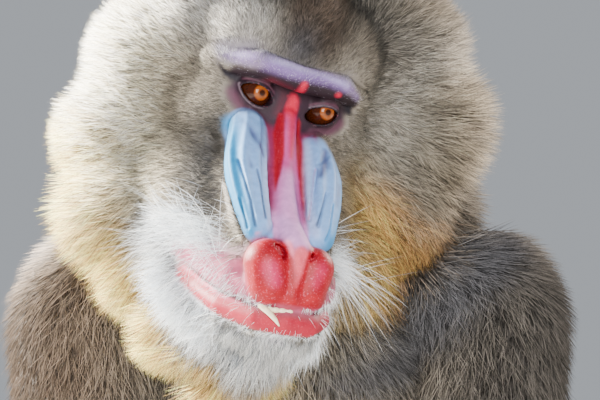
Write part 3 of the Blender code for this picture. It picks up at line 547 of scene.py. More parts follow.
    def lid_cutters(self) -> list[Thing]:
        """The almond openings between the lids and the hollows of the eyeballs."""
        cutters = []
        for side in Side:
            outline = ALMONDS[side].outline(36)
            slit = bmesh.new()
            rings = [[slit.verts.new((x * MM, y, z * MM)) for x, z in outline]
                     for y in (-0.040, PLACE.eye[1])]
            slit.faces.new(rings[0])
            slit.faces.new(rings[1][::-1])
            for index in range(len(outline)):
                after = (index + 1) % len(outline)
                slit.faces.new((rings[0][index], rings[0][after], rings[1][after],
                                rings[1][index]))
            bmesh.ops.triangulate(slit, faces=slit.faces)
            bmesh.ops.recalc_face_normals(slit, faces=slit.faces)
            slit.transform(PLACE.head)
            cutters.append(add_object("lid_opening", slit))
            hollow = bmesh.new()
            bmesh.ops.create_uvsphere(hollow, u_segments=48, v_segments=32,
                                      radius=self.eye_radius + 0.0001)
            hollow.transform(PLACE.head @ Matrix.Translation(side.of(PLACE.eye)))
            cutters.append(add_object("eye_hollow", hollow))
        return cutters

    def nostril_cutters(self) -> list[Thing]:
        """The nostrils: an open one on the right, and a slit on the side turned away."""
        cutters = []
        for path, radii in NOSTRILS:
            clay = Clay(Space.HEAD, fineness=4)
            for (x, y, z), radius in zip(*rounded(path, radii)):
                clay.bar((x * MM, y * MM, z * MM), (x * MM * 1.06, (y + 22) * MM, (z - 2) * MM),
                         radius * MM, radius * MM * 0.7)
            cutters.append(clay.melt("nostril", 0.0004, 1))
        return cutters

    def build(self) -> Thing:
        """The head in one skin, fine on the bare face and coarser under the coat.

        Returns:
            The head as one closed mesh, cut off at the neck.
        """
        soft = Clay(Space.HEAD)
        for masses in (self.skull, self.jaw, self.cheeks):
            masses(soft)
        Trunk().neck(soft)
        crisp = Clay(Space.HEAD, fineness=4)
        crisp.add(soft.melt("soft", self.soft_voxel, 44))
        for masses in (self.brow, self.swellings, self.nose, self.lips):
            masses(crisp)
        for side in Side:
            crisp.ball(side.of(PLACE.eye), self.lid_radius)
        head = crisp.melt("head_skin", self.fine_voxel, 4)
        combine(head, self.lid_cutters() + self.nostril_cutters() + [self.mouth_cutter()]
                + [self.neck_cutter()], "DIFFERENCE")
        remesh(head, self.last_voxel, 2)
        self.crease(head)
        self.keep_face_fine(head)
        set_coordinates(head, PLACE.twisted(coordinates(head)))
        return head

    def crease(self, head: Thing) -> None:
        """Press the folds and grooves of the bare skin into the mesh."""
        points, normals = coordinates(head), coordinates(head, "normal")
        local = PLACE.into_head(points)
        depth = np.zeros(len(points))
        for line in CREASES:
            depth += line.mask(local) * line.strength
        set_coordinates(head, points - normals * depth[:, None])

    def keep_face_fine(self, head: Thing) -> None:
        """Thin the mesh out behind the bare face only."""
        local = PLACE.into_head(coordinates(head))
        bare = np.zeros(len(local))
        for mark in FINE_FACE:
            bare = np.maximum(bare, mark.mask(local))
        group = head.vertex_groups.new(name="face")
        inside = np.nonzero(bare > 0.5)[0]
        group.add(inside.tolist(), 1.0, "REPLACE")
        spare = max(0, 2 * len(inside) - self.face_triangles)
        LOG.info("fine face: %d points", len(inside))
        thin_out(head, 2 * len(head.data.polygons) - spare, "face", inside=True)
        corners = len(head.data.polygons) - 2 * len(inside) + spare
        thin_out(head, len(head.data.polygons) - corners + self.triangles, "face")
        head.vertex_groups.clear()
        weld(head)

    def neck_cutter(self) -> Thing:
        """A block that takes away what lies behind the neck's plane."""
        point, normal = (Vector(item) for item in self.neck_plane)
        block = bmesh.new()
        bmesh.ops.create_cube(block, size=1.0)
        turn = UP.rotation_difference(normal).to_matrix().to_4x4()
        block.transform(PLACE.head @ Matrix.Translation(point) @ turn
                        @ Matrix.Translation((0.0, 0.0, 0.5)))
        return add_object("neck_block", block)


@dataclass
class Ears:
    """The two ears: rounded leaves with their hollows facing out and forward."""

    centre: Point = (0.082, 0.112, 0.004)
    turn: float = math.radians(30)

    def build(self) -> list[Thing]:
        """Both ears as closed meshes that reach into the head."""
        made = []
        for side in Side:
            sign = side.value
            matrix = (PLACE.head @ Matrix.Translation(side.of(self.centre))
                      @ Matrix.Rotation(sign * self.turn, 4, "Z"))
            clay = Clay(Space.HEAD)
            clay.frame = matrix
            clay.ball((0, 0, 0), (0.0160, 0.0070, 0.0240))
            clay.bar((0, 0.002, -0.003), (-0.040 * sign, 0.008, -0.006), 0.0100, 0.0130)
            ear = clay.melt("ear", 0.0014, 4)
            cup = Clay(Space.HEAD, fineness=4)
            cup.frame = matrix
            cup.ball((0.003 * sign, -0.0085, 0.001), (0.0108, 0.0095, 0.0185))
            combine(ear, [cup.loose("cup")], "DIFFERENCE")
            thin_out(ear, 3000)
            made.append(ear)
        return made


# ------------------------------------------------------------------ trunk and limbs
@dataclass
class Trunk:
    """Neck, chest, belly, rump and the stump tail."""

    voxel: float = 0.0050
    triangles: int = 27000

    def neck(self, clay: Clay) -> None:
        """Neck and throat, from the skull down to the shoulders, in the body's frame."""
        kept = clay.frame
        clay.frame = Matrix.Identity(4)
        nape = PLACE.head @ Vector((0, 0.100, -0.010))
        base = PLACE.body @ Vector((0.0, 0.035, 0.490))
        clay.chain([tuple(nape), tuple(nape.lerp(base, 0.5)), tuple(base)],
                   [0.050, 0.064, 0.084])
        clay.frame = PLACE.body
        clay.ball((0, 0.004, 0.530), (0.112, 0.070, 0.060))
        clay.ball((0, -0.040, 0.500), (0.070, 0.046, 0.060))
        clay.frame = kept

    def build(self) -> Thing:
        """The whole trunk as one closed mesh."""
        clay = Clay(Space.BODY)
        self.neck(clay)
        for centre, radii in [((0, 0.060, 0.375), (0.112, 0.118, 0.140)),
                              ((0, 0.045, 0.455), (0.118, 0.088, 0.072)),
                              ((0, -0.025, 0.425), (0.080, 0.052, 0.080)),
                              ((0, 0.110, 0.310), (0.108, 0.114, 0.120)),
                              ((0, 0.130, 0.240), (0.112, 0.108, 0.120)),
                              ((0, 0.075, 0.200), (0.088, 0.070, 0.085)),
                              ((0, 0.195, 0.150), (0.108, 0.092, 0.116)),
                              ((0, 0.150, 0.085), (0.085, 0.080, 0.070))]:
            clay.ball(centre, radii)
        for side in Side:
            clay.ball(side.of((0.108, 0.008, 0.466)), (0.062, 0.058, 0.054))
            clay.ball(side.of((0.044, 0.205, 0.032)), (0.040, 0.048, 0.032))
        clay.chain([(0, 0.262, 0.175), (0, 0.300, 0.200), (0.003, 0.318, 0.236)],
                   [0.016, 0.012, 0.006])
        for side in Side:
            arm = Limb.arm(side)
            clay.chain(arm.points, arm.radii)
            leg = Limb.leg(side)
            clay.chain(leg.points, leg.radii)
        trunk = clay.melt("trunk_skin", self.voxel, 40)
        thin_out(trunk, self.triangles)
        return trunk


@dataclass
class Limb:
    """An arm or a leg as a row of joints with the flesh's radius at each."""

    points: list[Point]
    radii: list[float]

    SHOULDER = (0.130, -0.008, 0.455)
    ELBOW = (0.132, -0.072, 0.262)
    WRIST = (0.080, -0.176, 0.052)
    HIP = (0.085, 0.160, 0.115)
    KNEE = (0.205, -0.010, 0.235)
    ANKLE = (0.178, 0.004, 0.046)

    @staticmethod
    def between(start: Point, end: Point, share: float) -> Point:
        """A point part of the way from one to another."""
        return tuple(Vector(start).lerp(Vector(end), share))

    @classmethod
    def arm(cls, side: Side) -> "Limb":
        """The arm of one side."""
        path = [cls.SHOULDER, cls.between(cls.SHOULDER, cls.ELBOW, 0.5), cls.ELBOW,
                cls.between(cls.ELBOW, cls.WRIST, 0.35), cls.WRIST]
        return cls(side.row(path), [0.050, 0.042, 0.033, 0.034, 0.021])

    @classmethod
    def leg(cls, side: Side) -> "Limb":
        """The leg of one side."""
        path = [cls.HIP, cls.between(cls.HIP, cls.KNEE, 0.45), cls.KNEE,
                cls.between(cls.KNEE, cls.ANKLE, 0.4), cls.ANKLE]
        return cls(side.row(path), [0.080, 0.064, 0.036, 0.035, 0.020])


@dataclass
class Digits:
    """Four fingers or toes side by side, each bent down to the ground."""

    base: Point
    heading: float
    spread: float
    lengths: tuple[float, ...]
    radius: float
    gap: float

    def paths(self, side: Side) -> list[list[Point]]:
        """Root, knuckle and tip of each digit."""
        rows = []
        for index, length in enumerate(self.lengths):
            place = index - (len(self.lengths) - 1) / 2
            angle = self.heading + place * self.spread
            way = Vector((math.sin(angle), -math.cos(angle), 0.0))
            root = Vector(self.base) + Vector((place * self.gap, 0.0, 0.0))
            knuckle = root + way * length * 0.45 + Vector((0, 0, 0.004))
            tip = root + way * length
            tip.z = self.radius * 0.85
            rows.append([side.of(tuple(point)) for point in (root, knuckle, tip)])
        return rows

    def add_to(self, clay: Clay, side: Side) -> None:
        """Add the digits to a hand or a foot."""
        for path in self.paths(side):
            clay.chain(path, [self.radius * 1.15, self.radius * 1.05, self.radius * 0.85])


HAND_KNUCKLES = (0.066, -0.250, 0.020)
FINGERS = Digits((0.068, -0.254, 0.016), math.radians(-6), math.radians(7),
                 (0.052, 0.060, 0.058, 0.048), 0.0088, 0.0165)
THUMB = ((0.040, -0.220, 0.012), (0.024, -0.246, 0.0085))
TOES = Digits((0.199, -0.111, 0.014), math.radians(8), math.radians(6),
              (0.048, 0.056, 0.054, 0.045), 0.0086, 0.0160)
GREAT_TOE = ((0.166, -0.045, 0.014), (0.144, -0.082, 0.0105))


@dataclass
class Extremities:
    """The two hands laid flat and the two feet."""

    voxel: float = 0.0018
    triangles: int = 6500

    def hand(self, side: Side) -> Thing:
        """One hand with four fingers and a thumb."""
        clay = Clay(Space.BODY)
        clay.chain([side.of(Limb.WRIST), side.of(HAND_KNUCKLES)], [0.0215, 0.0190])
        clay.ball(side.of((0.070, -0.218, 0.014)), (0.033, 0.046, 0.018))
        FINGERS.add_to(clay, side)
        clay.chain(side.row(THUMB), [0.0110, 0.0080])
        return self.finished(clay, "hand_skin")

    def foot(self, side: Side) -> Thing:
        """One foot with four toes and the grasping great toe."""
        clay = Clay(Space.BODY)
        heel, ball = (0.172, 0.030, 0.024), (0.196, -0.105, 0.018)
        clay.chain([side.of(heel), side.of(Limb.ANKLE)], [0.0240, 0.0250])
        clay.chain(side.row([heel, (0.184, -0.040, 0.022), ball]),
                   [0.0240, 0.0230, 0.0200])
        clay.ball(side.of((0.190, -0.075, 0.016)), (0.031, 0.050, 0.020))
        TOES.add_to(clay, side)
        clay.chain(side.row(GREAT_TOE), [0.0140, 0.0095])
        return self.finished(clay, "foot_skin")

    def finished(self, clay: Clay, name: str) -> Thing:
        """Melt a hand or a foot and thin it out."""
        made = clay.melt(name, self.voxel, 3)
        thin_out(made, self.triangles)
        return made

    def build(self) -> list[Thing]:
        """All four as closed meshes that reach into the limbs."""
        return [maker(side) for maker in (self.hand, self.foot) for side in Side]


# ------------------------------------------------------------------ strokes of colour and depth
@dataclass(frozen=True)
class Mark:
    """A stroke of colour, or of depth, along a path of points in millimetres.

    Attributes:
        path: points of the stroke; millimetres in the head's frame, or in the body's.
        radii: half its width at each point.
        tone: its colour.
        soft: how wide its edge fades.
        strength: how much of the colour it lays on, or its depth in metres as a crease.
        paired: whether it is repeated on the other side.
        bare: how much it keeps the coat off.
        gloss: how glossy the skin is there.
        space: the frame of its points.
        flat: how little the distance along Y counts.
    """

    path: tuple[Point, ...]
    radii: tuple[float, ...]
    tone: Colour = (0.0, 0.0, 0.0)
    soft: float = 3.0
    strength: float = 1.0
    paired: bool = True
    bare: float = 1.0
    gloss: float = 0.0
    space: Space = Space.HEAD
    flat: float = 0.55

    def one_side(self, points: Array, sign: float) -> Array:
        """How much of the stroke lies at each point, on one side, from 0 to 1."""
        scale = np.array([1.0, self.flat, 1.0])
        places = points * scale
        path = [np.array((x * sign, y, z)) * MM * scale for x, y, z in self.path]
        if len(path) == 1:
            gap = np.linalg.norm(places - path[0], axis=1) - self.radii[0] * MM
        else:
            gap = np.full(len(points), 1e9)
            for start, end, radius, end_radius in zip(path, path[1:], self.radii,
                                                      self.radii[1:]):
                along = end - start
                share = np.clip((places - start) @ along / (along @ along), 0.0, 1.0)
                near = start + share[:, None] * along
                width = (radius + (end_radius - radius) * share) * MM
                gap = np.minimum(gap, np.linalg.norm(places - near, axis=1) - width)
        return smooth_step(0.5 - gap / (self.soft * MM))

    def mask(self, points: Array) -> Array:
        """How much of the stroke lies at each point, on both sides if it is paired."""
        result = self.one_side(points, 1.0)
        if self.paired:
            result = np.maximum(result, self.one_side(points, -1.0))
        return result


def lone(path: tuple[Point, ...], radii: tuple[float, ...], tone: Colour = (0.0, 0.0, 0.0),
         soft: float = 3.0, strength: float = 1.0, **settings: float) -> Mark:
    """A stroke on one side only, with Mark's own settings."""
    return Mark(path, radii, tone, soft, strength, False, **settings)


@dataclass(frozen=True)
class Almond:
    """The opening between the lids of one eye, in millimetres of the head's frame."""

    side: Side
    centre: tuple[float, float]
    half_width: float
    upper: float
    lower: float
    lean: float

    def outline(self, count: int, grow: float = 0.0) -> list[tuple[float, float]]:
        """Points round the opening, widened by a margin.

        Args:
            count: how many points.
            grow: the margin in millimetres.

        Returns:
            X and Z of each point.
        """
        points = []
        for step in range(count):
            turn = 2 * math.pi * step / count
            across = math.cos(turn)
            reach = (self.upper if math.sin(turn) > 0 else self.lower) + grow
            x = across * (self.half_width + grow)
            z = reach * math.sin(turn) * abs(math.sin(turn)) ** 0.25
            slope = math.radians(self.lean)
            turned = (x * math.cos(slope) - z * math.sin(slope),
                      x * math.sin(slope) + z * math.cos(slope))
            points.append((self.side.value * (self.centre[0] + turned[0]),
                           self.centre[1] + turned[1]))
        return points

    def rim(self, grow: float, first: float, last: float, count: int = 12) -> tuple[Point, ...]:
        """A stroke's path round part of the opening, on the lids.

        Args:
            grow: how far outside the opening it runs, in millimetres.
            first: where it starts, as a share of the way round.
            last: where it ends.
            count: how many points it has.

        Returns:
            The path's points in millimetres.
        """
        around = self.outline(96, grow)
        eye_x, eye_y, eye_z = (value * 1000 for value in self.side.of(PLACE.eye))
        path = []
        for step in range(count + 1):
            share = first + (last - first) * step / count
            x, z = around[round(share * 96) % 96]
            reach = 12.4 ** 2 - (x - eye_x) ** 2 - (z - eye_z) ** 2
            path.append((x, eye_y - math.sqrt(max(4.0, reach)), z))
        return tuple(path)


ALMONDS = {Side.RIGHT: Almond(Side.RIGHT, (22.6, -2.0), 11.0, 6.2, 5.6, 14.0),
           Side.LEFT: Almond(Side.LEFT, (21.4, -3.4), 11.0, 5.8, 5.4, 17.0)}

FINE_FACE = [
    Mark(((0, -5, 12), (46, 10, 10)), (16, 12), soft=10),
    Mark(((22, -5, -5),), (27,), soft=10),
    Mark(((22, -10, -30), (22, -60, -60), (16, -100, -90)), (24, 25, 26), soft=10),
    Mark(((38, -42, -110), (25, -85, -112), (0, -105, -112)), (12, 18, 18), soft=10),
]

GROOVES = [((-33.6, -50, -36.7), (-30.0, -66, -43.7), (-26.6, -78, -52.3), (-24.4, -90, -64.4)),
           ((-22.1, -57, -37.7), (-19.6, -67, -44.6), (-18.7, -76, -51.4), (-17.7, -86, -59.3)),
           ((-32.2, -73, -53.5), (-30.2, -82, -60.6), (-28.2, -88, -67.4)),
           ((23.8, -63, -42.4), (19.3, -77, -51.5), (15.8, -85, -59.7)),
           ((27.5, -70, -48), (24.5, -84, -58), (21.1, -91, -66.7)),
           ((18.1, -41, -32.2), (15.1, -65, -48.3), (12.4, -76, -58.5))]

NOSTRILS = [(((-14.5, -122, -70.0), (-11.0, -124, -71.2), (-8.6, -125, -75.0)), (1.0, 3.0, 2.6)),
            (((11.5, -122, -71.0), (8.6, -124, -72.8)), (1.0, 1.6))]

CREASES = [
    *(lone(path, (0.7,) * len(path), soft=1.6, strength=0.0013, flat=0.2) for path in GROOVES),
    Mark(((34, -20, -26), (37, -40, -38), (34, -66, -54)), (0.3, 0.5, 0.3), soft=1.8, strength=0.0006),
    Mark(((29, -18, -19.5), (25.5, -28, -23), (20, -38, -28)), (1.0, 1.8, 1.0), soft=3.0,
         strength=0.0012),
    Mark(((10, -14, -15), (20, -12, -15.5), (32, -8, -13), (38, -2, -8)), (0.3, 0.6, 0.6, 0.3),
         soft=1.8, strength=0.0009),
    Mark(((12, -12, -18.5), (22, -10, -19), (34, -6, -17), (41, 2, -10)), (0.3, 0.5, 0.5, 0.3),
         soft=1.6, strength=0.0007),
    Mark(((8, -12, 3), (14, -12, 7), (24, -13, 9), (33, -6, 7), (40, 2, 4)), (0.3, 0.6, 0.8, 0.6, 0.3),
         soft=2.0, strength=0.0012),
    Mark(((36, -4, 2), (44, 4, 4)), (0.3, 0.2), soft=1.2, strength=0.0006),
    Mark(((36, -4, -2), (46, 5, -1)), (0.3, 0.2), soft=1.2, strength=0.0006),
    Mark(((35, -4, -6), (45, 4, -8)), (0.3, 0.2), soft=1.2, strength=0.0006),
    lone(((-9, -112, -77), (-5.5, -115, -83), (-2.5, -118, -91)), (0.9, 0.8, 0.4), soft=1.8,
         strength=0.0020, flat=1.0),
    lone(((10, -108, -73), (6.5, -112, -77), (3.5, -116, -84), (1.4, -118, -92)), (0.9, 0.9, 0.8, 0.4),
         soft=1.8, strength=0.0026, flat=1.0),
    *(lone(ALMONDS[side].rim(2.2, 0.04, 0.46), (0.3,) * 13, soft=1.3, strength=0.0007)
      for side in Side),
    *(lone(ALMONDS[side].rim(2.4, 0.56, 0.92), (0.3,) * 13, soft=1.3, strength=0.0006)
      for side in Side),
]

FUR_GREY = paint(148, 140, 126)
CREST_BROWN = paint(86, 74, 64)
# Painted sunlight: the cream glow of the ruff lit from behind the animal's right.
PAINTED_SUN_CREAM = paint(254, 242, 208)
SAND = paint(184, 170, 146)
GOLD = paint(250, 206, 122)
ORANGE = paint(222, 164, 92)
BEARD_YELLOW = paint(240, 194, 112)
WHITE = paint(232, 240, 248)
# BAND_BLACK also serves as the painted shadow of the ruff on the shoulder.
BAND_BLACK = paint(80, 81, 87)
SHOULDER_BROWN = paint(100, 93, 86)
BELLY_CREAM = paint(196, 178, 146)
HAND_DARK = paint(58, 48, 48)
RUMP_LILAC = paint(178, 140, 196)
RUMP_BLUE = paint(120, 150, 210)
RUMP_RED = paint(200, 80, 90)
PAD_GREY = paint(120, 104, 108)

BROW_LILAC = paint(112, 88, 140)
# Pale lilac hairs on the brow, with a painted highlight along its top.
BROW_PALE_HIGHLIGHT = paint(176, 168, 208)
# Maroon skin darkened as painted shade beside the top of the bridge.
MAROON_SHADE = paint(84, 24, 36)
# Dark skin under the brow, deepened as painted shadow of the brow's overhang.
BROW_SHADOW_DARK = paint(30, 16, 24)
INK = paint(20, 16, 24)
EYE_PLUM = paint(46, 28, 40)
LID_ROSE = paint(92, 54, 70)
LID_PALE = paint(184, 164, 176)
STRIPE_RED = paint(176, 14, 50)
BAND_RED = paint(140, 0, 26)
BRIDGE_PINK = paint(178, 70, 130)
BRIDGE_PALE = paint(206, 152, 204)
TURQUOISE = paint(0, 112, 158)
RIDGE_LILAC = paint(116, 158, 208)
RIDGE_WHITE = paint(156, 172, 212)
# Purplish skin darkened as painted shade in the hollows of the swellings.
RIDGE_HOLLOW_SHADE = paint(56, 50, 96)
# Painted shade in the grooves of the swellings.
GROOVE_SHADE = paint(18, 20, 40)
NOSE_RED = paint(138, 0, 20)
# Painted sheen: rose highlight on the front of the nose lobes.
NOSE_PAINTED_SHEEN = paint(180, 36, 86)
RIM_PINK = paint(222, 116, 142)
# Painted shade inside the nostrils and in the crease beside the nose.
NOSTRIL_SHADE = paint(18, 6, 8)
LIP_RED = paint(150, 20, 44)
LIP_GREY = paint(156, 76, 100)
CHIN_PALE = paint(204, 176, 184)
GREY_PATCH = paint(110, 108, 122)

# Path, radii, colour, softness and strength, and True where both sides have the stroke.
COAT_ROWS = [
    (((-40, 20, 44), (-84, 45, 30)), (20, 26), paint(214, 210, 202), 44, 0.8),
    (((62, 18, -20), (80, 38, 0), (90, 40, 30)), (18, 24, 26), paint(196, 190, 178), 40, 0.85),
    (((-70, 34, 0), (-76, 42, -36)), (13, 14), paint(216, 202, 178), 34, 0.7),
    (((-36, 4, -32), (-43, -14, -58), (-40, -40, -74)), (9, 11, 8), paint(80, 78, 76), 26, 0.9),
    (((34, 36, 58), (60, 36, 46)), (14, 14), paint(112, 108, 102), 30, 0.7),
    (((150, 54, -10), (150, 54, -70)), (22, 22), paint(132, 126, 118), 40, 0.7),
    (((-36, -12, -24), (-43, -30, -42), (-40, -50, -58), (-34, -75, -74)), (6, 7, 6, 5),
     paint(92, 92, 94), 10, 0.9),
    (((36, -10, -24), (41, -24, -42), (38, -50, -60), (32, -75, -74)), (3, 4, 4, 4), paint(92, 90, 88),
     12, 0.85),
    (((-48, 1, 17), (-30, -10, 24), (0, -16, 24), (32, -14, 22)), (5, 5, 5, 4), paint(176, 172, 198),
     8, 0.85),
    (((5, 10, 45), (0, 60, 90)), (22, 32), CREST_BROWN, 22, 1),
    (((-4, -8, 30),), (12,), BAND_BLACK, 22, 0.8),
    # Painted sunlight: cream glow on the ruff of the animal's right.
    (((-80, 45, -70), (-104, 60, -30), (-96, 60, 20)), (26, 26, 18), PAINTED_SUN_CREAM, 44, 0.92),
    (((-96, 65, -70), (-84, 50, -116), (-60, 30, -140)), (20, 24, 18), GOLD, 32, 0.85),
    (((110, 40, 20), (126, 50, -10)), (18, 20), SAND, 40, 0.7),
    (((84, 30, -58), (106, 35, -84), (118, 50, -70)), (16, 22, 22), ORANGE, 30, 0.95),
    (((64, 15, -40), (84, 30, -100)), (12, 20), GOLD, 36, 0.45),
    (((30, -10, -160), (0, -40, -184)), (24, 30), BEARD_YELLOW, 24, 1, True),
    (((-50, 10, -150), (-60, 20, -130)), (20, 24), BEARD_YELLOW, 30, 1),
    (((0, -95, -136), (24, -74, -138), (40, -36, -126)), (14, 14, 14), WHITE, 10, 1, True),
    (((40, -62, -92), (47, -38, -93), (54, -12, -102)), (5, 8, 13), WHITE, 18, 0.9, True),
    # Painted shadow: the dark band that the ruff casts on the shoulder of the animal's left.
    (((90, 20, -160), (128, 42, -134), (154, 50, -100), (176, 64, -62)), (14, 20, 18, 14), BAND_BLACK,
     26, 0.9),
]
COAT_MARKS = [Mark(path, radii, tone, soft, strength, bool(both), bare=0)
              for path, radii, tone, soft, strength, *both in COAT_ROWS]

# Path, radii, colour, softness, strength, whether both sides have it, and how bare it leaves the skin.
BODY_ROWS = [
    (((-150, -10, 480), (-160, -50, 380)), (50, 50), paint(122, 98, 78), 60, 0.6, False, 0),
    (((150, -10, 490), (170, -50, 390)), (56, 56), paint(78, 74, 70), 50, 0.8, False, 0),
    (((0, -60, 380), (0, 10, 250), (0, 60, 140)), (50, 70, 70), BELLY_CREAM, 60, 0.8, False, 0),
    (((80, -176, 52), (66, -300, 10)), (24, 60), HAND_DARK, 26, 1, True, 0),
    (((178, 10, 40), (196, -180, 5)), (26, 60), HAND_DARK, 26, 1, True, 0),
    (((66, -250, 0), (66, -330, 0)), (40, 40), HAND_DARK, 10, 1, True, 1),
    (((190, 0, 0), (196, -170, 0)), (32, 36), HAND_DARK, 12, 1, True, 1),
    (((40, 285, 100), (30, 270, 60)), (40, 40), RUMP_LILAC, 18, 1, True, 1),
    (((60, 270, 110), (70, 250, 60)), (16, 16), RUMP_BLUE, 18, 0.8, True, 1),
    (((0, 290, 110), (0, 290, 50)), (12, 14), RUMP_RED, 14, 0.8, False, 1),
    (((44, 215, 0),), (34,), PAD_GREY, 8, 1, True, 1),
]
COAT_ONLY = 3  # the first rows colour the coat alone
BODY_MARKS = [Mark(*row, space=Space.BODY) for row in BODY_ROWS]

